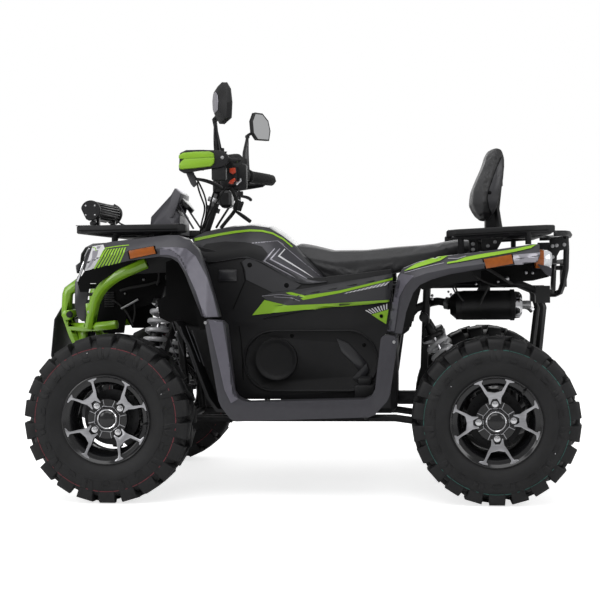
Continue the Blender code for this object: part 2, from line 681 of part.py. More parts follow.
def arm_pair(name, x, inner_y, apex_y, z_inner, z_outer, spread, radius=0.0115, shift=0.0):
    """A wishbone with two legs that meet at its outer eye."""
    apex = Vector((x, -apex_y, z_outer))
    feet = [Vector((x + shift + sign * spread, -inner_y, z_inner)) for sign in (-1, 1)]
    height = Vector((0, 0, BALL_EYE_HALF))
    front = pipe(name, [feet[0], apex], radius)
    back = pipe("leg", [feet[1], apex], radius)
    eye = rod("eye", apex - height, apex + height, 0.018, 10)
    brace = pipe("brace", [foot.lerp(apex, 0.42) for foot in feet], 0.008)
    return [front, back, eye, brace]


def make_front_suspension():
    """Upper and lower wishbones on one pivot bracket a side, and a coil-over shock."""
    inner_y = LOWER_RAIL_Y + RAIL_RADIUS + 0.012
    knuckle_z = FRONT_TYRE_RADIUS
    low_z, high_z = LOWER_RAIL_Z, 0.430
    shift = -0.025
    arms = arm_pair("arms", FRONT_X, inner_y, KINGPIN_Y, low_z, knuckle_z - BALL_HEIGHT, 0.115)
    arms += arm_pair("upper", FRONT_X, inner_y, KINGPIN_Y, high_z, knuckle_z + BALL_HEIGHT, 0.050, shift=shift)
    arms += pivot_bracket(FRONT_X, inner_y, low_z, high_z, 0.115, 0.050, shift)
    foot = Vector((FRONT_X + 0.035, -0.262, 0.260))
    arms += shock_perch(foot, Vector((FRONT_X + 0.030, -0.262, 0.222)))
    add_pair(combine("arms", arms[0], arms[1:]), "front_arms", finish("front_arms", STEEL, 0.5, 0.4))
    shock("front_shock", foot, Vector((FRONT_SHOCK_BAR[0], -0.190, FRONT_SHOCK_BAR[1])))


def pivot_bracket(x, inner_y, low_z, high_z, low_spread, high_spread, shift=0.0):
    """The rail that the lower pivots share, and the two uprights to the upper pivots."""
    rail = pipe("pivot_rail", [(x - low_spread - 0.012, -inner_y, low_z), (x + low_spread + 0.012, -inner_y, low_z)],
                0.0117)
    bars = [pipe("pivot_bar", [(x + shift + sign * high_spread, -inner_y, low_z - 0.004),
                               (x + shift + sign * high_spread, -inner_y, high_z + 0.014)], 0.0125)
            for sign in (-1, 1)]
    return [rail] + bars


def shock_perch(foot, seat):
    """Two ears either side of a shock's lower eye, on a saddle over the arm."""
    ears = [block("ear", foot + Vector((-0.013, side * 0.0165 - (0.004 if side < 0 else 0), seat.z - foot.z)),
                  foot + Vector((0.013, side * 0.0165 + (0.004 if side > 0 else 0), 0.012)))
            for side in (-1, 1)]
    saddle = block("saddle", (seat.x - 0.030, foot.y - 0.0205, seat.z - 0.012),
                   (foot.x + 0.013, foot.y + 0.0205, seat.z + 0.004))
    return ears + [saddle]


def shock(stem, foot, head):
    """Damper, ribbed coil-over spring and two eyes, leaning between its pins."""
    axis = (head - foot).normalized()
    length = (head - foot).length
    bar = 0.0125
    coils = 5
    start, end = length * 0.30, length * 0.90
    profile = [(0.012, 0.012), (0.012, start - 0.012), (0.030, start - 0.012)]
    pitch = (end - start) / coils
    for turn in range(coils):
        at = start + turn * pitch
        profile += [(0.024, at), (0.037, at + pitch * 0.5)]
    profile += [(0.024, end), (0.030, end + 0.008), (0.012, end + 0.008), (0.012, length - 2 * bar)]
    bm = bmesh.new()
    side = Vector((0, 1, 0)).cross(axis).normalized()
    ring = [bm.verts.new(foot + axis * y + side * r) for r, y in profile]
    edges = [bm.edges.new((a, b)) for a, b in zip(ring, ring[1:])]
    bmesh.ops.spin(bm, geom=ring + edges, cent=foot, axis=axis, angle=math.tau, steps=8, use_merge=True)
    bmesh.ops.remove_doubles(bm, verts=bm.verts, dist=1e-6)
    bmesh.ops.holes_fill(bm, edges=bm.edges)
    spring = from_bmesh(stem, bm)
    eye_radius = 0.013
    low_eye = rod("low_eye", foot - Vector((0, 0.016, 0)), foot + Vector((0, 0.016, 0)), eye_radius, 8)
    high_at = head - axis * (bar + eye_radius + 2 * SEAT_GAP)
    high_eye = rod("high_eye", high_at - Vector((0, 0.016, 0)), high_at + Vector((0, 0.016, 0)), eye_radius, 8)
    unit = combine(stem, spring, [low_eye, high_eye])
    add_pair(unit, stem, finish(stem, (0.25, 0.25, 0.26), 0.35, 0.7))


def make_rear_suspension():
    """Wishbones fused with the rear upright, whose bore lets the half shaft turn."""
    inner_y = LOWER_RAIL_Y + RAIL_RADIUS + 0.012
    upright_y = REAR_TRACK_HALF - 0.060
    centre_z = REAR_TYRE_RADIUS
    reach = 0.080
    low_z, high_z = REAR_RAIL_Z, 0.400
    arms = arm_pair("rear", REAR_X, inner_y, upright_y, low_z, centre_z - reach, 0.115)
    arms += arm_pair("rear_upper", REAR_X, inner_y, upright_y, high_z, centre_z + reach, 0.080)
    arms += pivot_bracket(REAR_X, inner_y, low_z, high_z, 0.115, 0.080)
    ring = turned("ring", [(HALF_SHAFT_RADIUS + 0.006, -0.018), (0.036, -0.018), (0.036, 0.018),
                           (HALF_SHAFT_RADIUS + 0.006, 0.018)],
                  Vector((REAR_X, -upright_y, centre_z)), Vector((0, 1, 0)), 12)
    posts = []
    for sign in (-1, 1):
        posts.append(pipe("post", [(REAR_X, -upright_y, centre_z + sign * (reach - 0.002)),
                                   (REAR_X, -upright_y, centre_z + sign * 0.028)], 0.013))
    foot = Vector((REAR_X - 0.060, -0.236, 0.252))
    arms += shock_perch(foot, Vector((REAR_X - 0.050, -0.236, 0.212)))
    rear = combine("rear", arms[0], arms[1:] + [ring] + posts)
    add_pair(rear, "rear_suspension", finish("rear_suspension", STEEL, 0.5, 0.4))
    shock("rear_shock", foot, Vector((REAR_SHOCK_BAR[0], -0.190, REAR_SHOCK_BAR[1])))


# Front end
def make_bumper():
    """Green tube guard with two hoops, a cross tube and two long side tubes."""
    hoop = [(-0.806, -0.165, 0.728), (-0.862, -0.165, 0.728), (-0.886, -0.165, 0.660),
            (-0.868, -0.165, 0.575), (-0.840, -0.150, 0.505)]
    side_tube = [(-0.551, -0.300, 0.800), (-0.654, -0.300, 0.758), (-0.708, -0.285, 0.722),
                 (-0.748, -0.255, 0.668), (-0.770, -0.240, 0.575)]
    lower = [(-0.864, -0.165, 0.575), (-0.770, -0.240, 0.575), (-0.670, -0.262, 0.585)]
    cross = [(-0.866, -0.205, 0.618), (-0.866, 0.205, 0.618)]
    base = pipe("front_bumper", cross, BUMPER_RADIUS)
    forms = []
    for mirror in (Vector, across):
        forms.append(pipe("hoop", [mirror(p) for p in hoop], BUMPER_RADIUS, 0.04, ROUND_FACETS))
        forms.append(pipe("side_tube", [mirror(p) for p in side_tube], BUMPER_RADIUS, 0.06, ROUND_FACETS, 2))
        forms.append(pipe("lower_tube", [mirror(p) for p in lower], BUMPER_RADIUS * 0.8, 0.03))
    for side in (-1, 1):
        forms.append(block("flange", (-0.845, side * 0.145 - 0.020, 0.497),
                           (-0.800 - RAIL_RADIUS + 0.0015, side * 0.145 + 0.020, 0.557)))
    guard = combine("front_bumper", base, forms)
    add_part(guard, "front_bumper", finish("front_bumper", GREEN, 0.25))


def make_bash_plate():
    """Bent skid plate from the bumper down under the front rails."""
    run = [(-0.9055, 0.655), (-0.934, 0.600), (-0.945, 0.470), (-0.905, 0.340), (-0.830, 0.245),
           (-0.740, 0.2205), (-0.520, 0.2205)]
    widths = [0.120, 0.140, 0.150, 0.150, 0.150, 0.150, 0.120]
    sections = []
    for (x, z), half in zip(run, widths):
        sections.append([Vector((x, -half, z)), Vector((x, -half * 0.4, z)), Vector((x, half * 0.4, z)),
                         Vector((x, half, z))])
    skid = loft("bash_plate", sections, closed=False, wall=0.004, offset=0)
    add_part(skid, "bash_plate", finish("bash_plate", (0.22, 0.22, 0.23), 0.35, 0.6))


def slots(count, pitch, width, height, x0, y0):
    """A row of equal rectangular holes for a plate's outline."""
    holes = []
    for i in range(count):
        y = y0 + (i - (count - 1) / 2) * pitch
        holes.append([(x0 - width / 2, y - height / 2), (x0 + width / 2, y - height / 2),
                      (x0 + width / 2, y + height / 2), (x0 - width / 2, y + height / 2)])
    return holes


def make_grille():
    """Slotted front grille between the lamps, with a side cheek each side."""
    outline = [(-0.138, 0.0), (-0.115, -0.160), (0.115, -0.160), (0.138, 0.0)]
    panel = plate("grille", [outline] + slots(5, 0.026, 0.180, 0.014, 0.0, -0.078), -0.006, 0.006, FRONT)
    tilt = Matrix.Rotation(math.radians(-5), 4, "Y")
    panel.data.transform(Matrix.Translation((-0.835, 0, 0.728)) @ tilt)
    cheek = [(-0.826, 0.757), (-0.794, 0.757), (-0.786, 0.735), (-0.788, 0.700), (-0.797, 0.640), (-0.799, 0.595),
             (-0.812, 0.595), (-0.828, 0.608), (-0.838, 0.650), (-0.836, 0.735)]
    forms = []
    for side in (-1, 1):
        forms.append(plate("cheek", [cheek], side * 0.197 - 0.004, side * 0.197 + 0.004))
        forms.append(block("tie", (-0.834, min(side * 0.120, side * 0.199), 0.678),
                           (-0.826, max(side * 0.120, side * 0.199), 0.700)))
        forms.append(block("rear_tie", (-0.827, side * 0.104 - 0.008, 0.623),
                           (-0.8028, side * 0.104 + 0.008, 0.637)))
    panel = combine("grille", panel, forms)
    add_part(panel, "grille_panel", finish("grille_panel", GREY, 0.5))


def make_headlights():
    """Wedge lamps at the nose's corners."""
    rings = []
    for depth, scale in ((0.0, 1.0), (0.060, 0.86)):
        rings.append([Vector((-0.805 + depth + (z - 0.735) * 0.35 + (abs(y) - 0.10) * 0.30,
                              -0.165 + (y + 0.165) * scale, 0.785 + (z - 0.785) * scale))
                      for y, z in ((-0.100, 0.762), (-0.100, 0.786), (-0.160, 0.806), (-0.226, 0.812),
                                   (-0.228, 0.780), (-0.180, 0.762))])
    bracket = block("bracket", (-0.745, -0.190, 0.790), (-0.725, -0.170, 0.8606))
    lamp = combine("headlight", loft("headlight", rings), [bracket])
    add_pair(lamp, "headlight", finish("headlight", (0.75, 0.77, 0.8), 0.1))


def fender_sections(crest, face, arch, inner_y, inner_drop, skirt):
    """Cross-sections of a fender from its inner skirt over the crest to the arch lip."""
    sections = []
    for top, side, lip, drop, hang in zip(crest, face, arch, inner_drop, skirt):
        inner = (top[0] + drop[0], top[1] + drop[1])
        sections.append([
            Vector((inner[0] + hang[0], -inner_y, inner[1] + hang[1])),
            Vector((inner[0], -inner_y, inner[1])),
            Vector((top[0], -FLARE_CREST_Y + 0.03, top[1] + 0.002)),
            Vector((top[0], -FLARE_CREST_Y, top[1])),
            Vector((side[0], -FLARE_Y, side[1])),
            Vector((lip[0], -FLARE_Y + 0.012, lip[1])),
        ])
    return sections


def make_front_fender():
    """Left and right flares with inner skirts, joined over the nose by the front hood."""
    crest = [(-0.698, 0.857), (-0.679, 0.862), (-0.627, 0.871), (-0.531, 0.880), (-0.446, 0.889),
             (-0.405, 0.889), (-0.367, 0.872), (-0.334, 0.839), (-0.307, 0.765), (-0.264, 0.615)]
    face = [(-0.706, 0.796), (-0.688, 0.806), (-0.632, 0.824), (-0.545, 0.840), (-0.448, 0.845),
            (-0.412, 0.838), (-0.386, 0.817), (-0.371, 0.786), (-0.355, 0.741), (-0.306, 0.617)]
    arch = [(-0.713, 0.773), (-0.694, 0.778), (-0.634, 0.791), (-0.556, 0.806), (-0.457, 0.818),
            (-0.418, 0.813), (-0.395, 0.798), (-0.381, 0.776), (-0.369, 0.750), (-0.319, 0.620)]
    drop = [(-0.02, -0.010), (-0.01, -0.005), (0, 0), (0, 0), (0, 0), (-0.005, -0.004), (-0.020, -0.012),
            (-0.030, -0.018), (-0.034, -0.012), (-0.034, -0.006)]
    skirt = [(0, -0.100), (0, -0.105), (0, -0.110), (0, -0.115), (0, -0.120), (-0.015, -0.120),
             (-0.026, -0.115), (-0.041, -0.106), (-0.054, -0.073), (-0.070, -0.004)]
    sections = fender_sections(crest, face, arch, 0.235, drop, skirt)
    left = loft("fender", sections, closed=False, wall=PANEL_WALL)
    right = mirrored(left, "right")
    hood_run = [(-0.868, 0.806), (-0.862, 0.842), (-0.800, 0.862), (-0.690, 0.866), (-0.600, 0.869), (-0.530, 0.876)]
    widths = [0.095, 0.120, 0.185, 0.240, 0.240, 0.240]
    sections = []
    for (x, z), half in zip(hood_run, widths):
        sections.append([Vector((x, half * y, z + lift)) for y, lift in
                         ((-1.0, -0.006), (-0.5, 0.010), (0.0, 0.014), (0.5, 0.010), (1.0, -0.006))])
    hood = loft("hood", sections, closed=False, wall=PANEL_WALL)
    fender = combine("front_fender", left, [right, hood])
    add_part(fender, "front_fender", finish("front_fender", GREY, 0.35, 0.3))


def rounded_outline(points, radius, steps=3):
    """A closed outline with its corners rounded."""
    count = len(points)
    outline = []
    for i in range(count):
        before, corner, after = (Vector(points[i - 1]), Vector(points[i]), Vector(points[(i + 1) % count]))
        start = corner + (before - corner).normalized() * radius
        end = corner + (after - corner).normalized() * radius
        for k in range(steps + 1):
            t = k / steps
            outline.append(start * (1 - t) ** 2 + corner * 2 * t * (1 - t) + end * t ** 2)
    return [(p.x, p.y) for p in outline]


def make_front_rack():
    """Moulded carrier with slots, on four stays."""
    half = FRONT_RACK_HALF
    low, high = FRONT_RACK_TOP - RACK_HEIGHT, FRONT_RACK_TOP
    outline = rounded_outline([(-0.785, -half + 0.03), (-0.785, half - 0.03), (-0.640, half),
                               (-0.395, half), (-0.400, 0.300), (-0.470, 0.160), (-0.610, 0.135),
                               (-0.610, -0.135), (-0.470, -0.160), (-0.400, -0.300),
                               (-0.395, -half), (-0.640, -half)], 0.024, 1)
    holes = []
    for y in (-0.305, -0.207, 0.207, 0.305):
        holes.append([(-0.735, y - 0.042), (-0.735, y + 0.042), (-0.555, y + 0.042), (-0.555, y - 0.042)])
    holes.append([(-0.735, -0.060), (-0.735, 0.060), (-0.655, 0.060), (-0.655, -0.060)])
    rack = plate("front_rack", [outline] + holes, low, high, PLAN)
    rack = soften_edges(rack, 0.0045, 1, 60)
    forms = []
    for side in (-1, 1):
        forms.append(pipe("stay", [(-0.620, side * 0.342, low + 0.01), (-0.650, side * 0.335, 0.888),
                                   (-0.650, side * 0.335, 0.8706)], 0.011, 0.008))
        forms.append(pipe("rear_stay", [(-0.445, side * 0.330, low + 0.01), (-0.445, side * 0.330, 0.8910)], 0.010))
    rack = combine("front_rack", rack, forms)
    add_part(rack, "front_rack", finish("front_rack", BLACK, 0.5))


def make_light_bar():
    """Work light on the rack: ribbed back, end caps and two feet."""
    middle = Vector((-0.792, 0.995))
    outline = []
    for i in range(16):
        angle = math.radians(-40 + i * 17)
        radius = 0.031 if i % 2 else 0.026
        outline.append((middle.x + radius * math.cos(angle) * 0.95, middle.y + radius * math.sin(angle)))
    outline += [(middle.x - 0.026, middle.y - 0.024), (middle.x - 0.010, middle.y - 0.032)]
    body = plate("light_bar", [outline], -0.130, 0.130)
    cap_outline = [(-0.032, 0.008), (-0.018, 0.030), (0.002, 0.036), (0.022, 0.028), (0.032, 0.008),
                   (0.030, -0.014), (0.014, -0.032), (-0.008, -0.037), (-0.026, -0.022)]
    forms = []
    for side in (-1, 1):
        cap = [(middle.x + x, middle.y + z) for x, z in cap_outline]
        forms.append(plate("end_cap", [cap], side * 0.136 - 0.009, side * 0.136 + 0.009))
        forms.append(block("foot", (middle.x + 0.008, side * 0.105 - 0.012, FRONT_RACK_TOP + SEAT_GAP),
                           (middle.x + 0.040, side * 0.105 + 0.012, FRONT_RACK_TOP + 0.008)))
        forms.append(block("foot_post", (middle.x + 0.012, side * 0.105 - 0.008, FRONT_RACK_TOP + 0.004),
                           (middle.x + 0.022, side * 0.105 + 0.008, middle.y - 0.010)))
    bar = combine("light_bar", body, forms)
    add_part(bar, "light_bar", finish("light_bar", BLACK, 0.4, 0.4))


def make_dash_cowl():
    """Raised pod ahead of the bars that holds the dial, with its small screen and two struts."""
    front = [(-0.590, 0.9055), (-0.584, 0.972), (-0.512, 1.050), (-0.497, 1.076), (-0.474, 1.054),
             (-0.480, 1.020), (-0.506, 1.012), (-0.478, 0.975), (-0.478, 0.9055)]
    sections = []
    for y, shrink in ((-0.112, 0.55), (-0.088, 1.0), (0.088, 1.0), (0.112, 0.55)):
        sections.append([Vector((-0.545 + (x + 0.545) * (0.35 + 0.65 * shrink), y * (1 - (z - 0.9055) * 1.2),
                                 0.9055 + (z - 0.9055) * shrink)) for x, z in front])
    cowl = loft("dash_cowl", sections)
    base = block("base", (-0.575, -0.080, 0.8950), (-0.515, 0.080, 0.915))
    struts = [pipe("strut", [(-0.494, side * 0.060, 1.032), (-0.4275, side * 0.078, 0.9250)], 0.004)
              for side in (-1, 1)]
    cowl = combine("dash_cowl", cowl, [base] + struts)
    add_part(cowl, "dash_cowl", finish("dash_cowl", GREY, 0.45))


# Middle body
def seat_nose_x(z):
    """Where the slanted joint between body cover and seat lies at a height."""
    return SEAT_NOSE_X + (SEAT_NOSE_Z - z) * SEAT_NOSE_SLOPE


def make_body_cover():
    """Cover between the bars and the seat, hollowed where the column passes."""
    rows = ((-0.425, 0.892, 0.800, 0.105), (-0.385, 0.922, 0.800, 0.150), (-0.290, 0.938, 0.798, 0.175),
            (-0.205, 0.944, 0.790, 0.180), (-0.145, 0.936, 0.768, 0.172), (-0.095, 0.906, 0.750, 0.160),
            (-0.060, 0.868, 0.737, 0.140))
    sections = []
    for x, top, low, half in rows:
        shoulder = top - 0.055
        sections.append([Vector((x, -half, low)), Vector((x, -half * 1.02, shoulder)),
                         Vector((x, -half * 0.72, top - 0.012)), Vector((x, 0, top)),
                         Vector((x, half * 0.72, top - 0.012)), Vector((x, half * 1.02, shoulder)),
                         Vector((x, half, low))])
    for point in sections[-1]:
        point.x = seat_nose_x(point.z) - 2 * SEAT_GAP
    cover = loft("body_cover", sections)
    tunnel = rod("tunnel", column_point(0.70), column_point(1.00), 0.034, 16)
    cover = combine("body_cover", cover, [tunnel], "DIFFERENCE")
    add_part(cover, "body_cover", finish("body_cover", BLACK, 0.3))


def make_side_panels():
    """Upper side panel and lower engine cover with its oval recess, as one moulding a side."""
    outline = [(-0.405, 0.862), (-0.300, 0.838), (-0.165, 0.815), (-0.030, 0.740), (0.068, 0.745),
               (0.200, 0.758), (0.300, 0.770), (0.300, 0.680), (0.288, 0.590), (0.262, 0.345), (0.240, 0.318),
               (-0.272, 0.318), (-0.296, 0.400), (-0.335, 0.600), (-0.372, 0.770)]
    low, high = -0.232, -0.1816
    panel = plate("side_panel", [outline], low, high)
    recess = []
    for centre_x, start in ((-0.116, 90), (0.143, -90)):
        for i in range(7):
            angle = math.radians(start + i * 30)
            recess.append((centre_x + 0.104 * math.cos(angle), 0.452 + 0.104 * math.sin(angle)))
    cut = plate("recess", [recess], low - 0.01, low + 0.014)
    panel = combine("side_panel", panel, [cut], "DIFFERENCE")
    disc = rod("disc", (-0.107, low - 0.002, 0.458), (-0.107, low + 0.020, 0.458), 0.073, 20)
    strip = [(-0.036, 0.672), (0.010, 0.690), (0.292, 0.742), (0.286, 0.655), (0.060, 0.640), (-0.150, 0.600)]
    facet = plate("facet", [strip], low - 0.006, low + 0.006)
    panel = combine("side_panel", panel, [disc, facet])
    add_pair(panel, "side_panel", finish("side_panel", BLACK, 0.5))


def make_footwells():
    """Floor and two upright walls of each footwell, the flare outside and the mud guard ahead."""
    outer = rounded_outline([(-0.308, 0.612), (-0.262, 0.331), (-0.219, 0.273), (0.243, 0.288),
                             (0.298, 0.349), (0.327, 0.550), (0.273, 0.556), (0.250, 0.368),
                             (0.228, 0.346), (-0.177, 0.337), (-0.215, 0.360), (-0.239, 0.602)], 0.012, 1)
    flare = plate("footwell", [outer], -FLARE_Y, -0.440)
    floor_z = FOOTWELL_FLOOR_Z
    well = [(-0.302, 0.600), (-0.255, 0.345), (-0.215, floor_z - 0.012), (0.240, floor_z - 0.006),
            (0.285, 0.350), (0.325, 0.565), (0.372, 0.690), (0.367, 0.692), (0.319, 0.567),
            (0.279, 0.354), (0.237, floor_z), (-0.213, floor_z - 0.005), (-0.249, 0.348), (-0.296, 0.602)]
    tray = plate("tray", [well], -0.450, -FOOTWELL_INNER_Y)
    mud_guard = [(-0.425, 0.602), (-0.380, 0.517), (-0.350, 0.431), (-0.316, 0.342), (-0.285, 0.298),
                 (-0.212, 0.294), (-0.212, 0.300), (-0.278, 0.308), (-0.306, 0.345), (-0.340, 0.433),
                 (-0.370, 0.520), (-0.414, 0.600)]
    forms = [tray, plate("mud_guard", [mud_guard], -0.436, -0.252)]
    web = [(-0.418, 0.600), (-0.375, 0.517), (-0.345, 0.431), (-0.311, 0.344), (-0.275, 0.303), (-0.225, 0.297),
           (-0.252, 0.350), (-0.299, 0.600)]
    forms.append(plate("web", [web], -0.325, -0.318))
    for i in range(5):
        x = -0.12 + i * 0.075
        forms.append(block("tread", (x - 0.012, -0.42, floor_z - 0.006), (x + 0.012, -0.28, floor_z + 0.008)))
    well = combine("footwell", flare, forms)
    add_pair(well, "footwell", finish("footwell", GREY, 0.45, 0.2))


def make_seat():
    """Two-up seat: a soft solid with a narrow nose."""
    rows = ((-0.060, 0.871, 0.737, 0.125), (0.010, 0.856, 0.738, 0.130), (0.085, 0.836, 0.742, 0.145),
            (0.200, 0.836, 0.752, 0.165), (0.310, 0.846, 0.762, 0.172), (0.400, 0.851, 0.786, 0.174),
            (0.490, 0.860, 0.808, 0.172), (0.580, 0.866, 0.824, 0.165), (0.640, 0.862, 0.832, 0.140))
    sections = []
    for x, top, low, half in rows:
        middle = low + (top - low) * 0.62
        sections.append([Vector((x, -half * 0.96, low)), Vector((x, -half, middle)),
                         Vector((x, -half * 0.72, top - 0.006)), Vector((x, 0, top)),
                         Vector((x, half * 0.72, top - 0.006)), Vector((x, half, middle)),
                         Vector((x, half * 0.96, low))])
    for point in sections[0]:
        point.x = seat_nose_x(point.z)
    for point in sections[1]:
        point.x = max(point.x, seat_nose_x(point.z) + 0.030)
    for point in sections[2]:
        point.x = max(point.x, seat_nose_x(point.z) + 0.060)
    seat = loft("seat", sections)
    add_part(seat, "seat", finish("seat", VINYL, 0.6))


def make_rear_fender():
    """Left and right rear flares with inner skirts, joined behind and under the seat."""
    crest = [(0.290, 0.566), (0.306, 0.645), (0.326, 0.744), (0.345, 0.770), (0.392, 0.789),
             (0.480, 0.808), (0.645, 0.826), (0.764, 0.842), (0.785, 0.842)]
    face = [(0.318, 0.562), (0.333, 0.640), (0.354, 0.712), (0.378, 0.738), (0.420, 0.753),
            (0.495, 0.768), (0.620, 0.784), (0.750, 0.801), (0.782, 0.806)]
    arch = [(0.340, 0.557), (0.354, 0.628), (0.377, 0.690), (0.400, 0.716), (0.438, 0.733),
            (0.502, 0.750), (0.600, 0.765), (0.735, 0.780), (0.775, 0.785)]
    drop = [(0.025, 0.006), (0.022, 0.000), (0.016, -0.010), (0.012, -0.012), (0.006, -0.008),
            (0, 0), (0, 0), (0, 0), (0, 0)]
    skirt = [(0.050, -0.004), (0.052, -0.006), (0.055, -0.030), (0.045, -0.060), (0.020, -0.085),
             (0, -0.095), (0, -0.095), (0, -0.085), (0, -0.080)]
    sections = fender_sections(crest, face, arch, 0.235, drop, skirt)
    left = loft("rear_fender", sections, closed=False, wall=PANEL_WALL)
    right = mirrored(left, "right")
    deck_run = [(0.372, 0.765), (0.470, 0.788), (0.600, 0.802), (0.700, 0.820), (0.780, 0.834)]
    sections = []
    for x, z in deck_run:
        sections.append([Vector((x, y, z)) for y in (-0.245, -0.12, 0.0, 0.12, 0.245)])
    deck = loft("deck", sections, closed=False, wall=PANEL_WALL)
    fender = combine("rear_fender", left, [right, deck])
    add_part(fender, "rear_fender", finish("rear_fender", GREY, 0.35, 0.3))


# Rear end
def make_rear_rack():
    """Moulded carrier on its stays, with the backrest's post."""
    half = REAR_RACK_HALF
    low, high = REAR_RACK_TOP - RACK_HEIGHT, REAR_RACK_TOP
    outline = rounded_outline([(0.488, -half), (0.488, -0.205), (0.660, -0.185), (0.660, 0.185), (0.488, 0.205),
                               (0.488, half), (0.700, half), (0.850, half - 0.05), (0.850, -half + 0.05),
                               (0.700, -half)], 0.030, 1)
    holes = []
    for y in (-0.115, 0.0, 0.115):
        holes.append([(0.715, y - 0.042), (0.820, y - 0.042), (0.820, y + 0.042), (0.715, y + 0.042)])
    for y in (-0.286, 0.286):
        holes.append([(0.568, y - 0.042), (0.772, y - 0.042), (0.772, y + 0.042), (0.568, y + 0.042)])
    rack = plate("rear_rack", [outline] + holes, low, high, PLAN)
    rack = soften_edges(rack, 0.0050, 1, 60)
    forms = []
    for side in (-1, 1):
        forms.append(pipe("front_stay", [(0.535, side * 0.362, low + 0.01), (0.535, side * 0.362, 0.8175)], 0.010))
        forms.append(pipe("back_stay", [(0.757, side * 0.357, low + 0.01), (0.757, side * 0.357, 0.8440)], 0.010))
        forms.append(pipe("post", [(0.684, side * 0.050, low + 0.008), (0.683, side * 0.050, 0.950),
                                   (0.702, side * 0.050, 1.120)], 0.012, 0.03))
    forms.append(block("post_bridge", (0.6864, -0.070, 1.060), (0.708, 0.070, 1.105)))
    rack = combine("rear_rack", rack, forms)
    add_part(rack, "rear_rack", finish("rear_rack", BLACK, 0.5))


def make_rear_guard():
    """Rail behind the rack and the two bent tubes that carry it down to the frame."""
    rail_z = 0.884
    rail = [(0.8503, -0.262, rail_z), (0.880, -0.262, rail_z), (0.903, -0.215, rail_z),
            (0.923, -0.085, rail_z), (0.9315, 0, rail_z), (0.923, 0.085, rail_z),
            (0.903, 0.215, rail_z), (0.880, 0.262, rail_z), (0.8503, 0.262, rail_z)]
    base = pipe("rear_guard", rail, 0.011, 0.04)
    forms = []
    for side in (-1, 1):
        guard = [(0.896, side * 0.205, rail_z), (0.900, side * 0.205, 0.800), (0.894, side * 0.190, 0.730),
                 (0.884, side * UPPER_RAIL_Y, 0.675), (0.8503, side * UPPER_RAIL_Y, 0.675)]
        forms.append(pipe("guard", guard, 0.011, 0.04))
    forms.append(pipe("guard_cross", [(0.899, -0.205, 0.790), (0.899, 0.205, 0.790)], 0.009))
    guard = combine("rear_guard", base, forms)
    add_part(guard, "rear_guard", finish("rear_guard", STEEL, 0.45, 0.3))


def make_backrest():
    """Passenger backrest: a soft pad with a bulged lumbar."""
    rows = ((0.940, 0.614, 0.650, 0.110), (0.962, 0.594, 0.660, 0.148), (1.000, 0.581, 0.669, 0.164),
            (1.040, 0.583, 0.677, 0.168), (1.085, 0.600, 0.684, 0.165), (1.135, 0.621, 0.689, 0.156),
            (1.178, 0.634, 0.690, 0.145), (1.200, 0.645, 0.688, 0.125), (1.207, 0.655, 0.680, 0.100))
    sections = []
    for z, front, back, half in rows:
        middle = (front + back) / 2
        sections.append([Vector((back, -half * 0.85, z)), Vector((middle, -half, z)),
                         Vector((front + 0.008, -half * 0.70, z)), Vector((front, 0, z)),
                         Vector((front + 0.008, half * 0.70, z)), Vector((middle, half, z)),
                         Vector((back, half * 0.85, z))])
    pad = loft("backrest", sections)
    add_part(pad, "backrest", finish("backrest", VINYL, 0.6))


def make_tail_lights():
    """Corner lamps with their lower guards, at the rear flares' ends."""
    rings = []
    for x, shrink in ((0.7865, 1.0), (0.812, 1.0), (0.832, 0.90), (0.842, 0.66)):
        rings.append([Vector((x - (abs(y) - 0.20) * 0.05, -0.33 + (y + 0.33) * shrink, 0.797 + (z - 0.797) * shrink))
                      for y, z in ((-0.240, 0.770), (-0.240, 0.822), (-0.330, 0.828), (-0.440, 0.822),
                                   (-0.452, 0.795), (-0.430, 0.766), (-0.340, 0.764))])
    bracket = block("bracket", (0.770, -0.330, 0.7975), (0.800, -0.300, 0.8150))
    shield = [(0.778, 0.779), (0.812, 0.772), (0.826, 0.764), (0.822, 0.738), (0.808, 0.744)]
    shield_plate = plate("shield", [shield], -0.440, -0.425)
    lamp = combine("tail_light", loft("tail_light", rings), [bracket, shield_plate])
    add_pair(lamp, "tail_light", finish("tail_light", (0.7, 0.7, 0.72), 0.15))


def make_muffler():
    """Exhaust silencer with its header, end cap and bent tail pipe."""
    y = -0.165
    z = 0.640
    profile_run = ((0.500, 0.036), (0.520, 0.050), (0.712, 0.050), (0.740, 0.040))
    base = rod("muffler", (profile_run[1][0], y, z), (profile_run[2][0], y, z), 0.050, 16)
    forms = [
        rod("inlet_cone", (profile_run[0][0], y, z), (profile_run[1][0] + 0.001, y, z), 0.030, 12, 0.048),
        rod("end_cap", (profile_run[2][0] - 0.001, y, z), (profile_run[3][0], y, z), 0.047, 16, 0.036),
        pipe("tail_pipe", [(0.730, y, z), (0.762, y, z), (0.786, y, z - 0.022)], 0.011, 0.02),
        pipe("header", [(0.510, y, z), (0.485, -0.150, z + 0.010), (0.450, -0.080, z + 0.015),
                        (0.360, -0.066, 0.620), (0.338, -0.060, 0.545),
                        (ENGINE_X + ENGINE_LENGTH / 2 + SEAT_GAP, -0.060, 0.545)], 0.015, 0.02),
        block("hanger", (0.600, y, z + 0.040), (0.640, -UPPER_RAIL_Y - RAIL_RADIUS - SEAT_GAP, UPPER_RAIL_Z + 0.008)),
    ]
    unit = combine("muffler", base, forms)
    add_part(unit, "muffler", finish("muffler", BLACK, 0.4, 0.5))


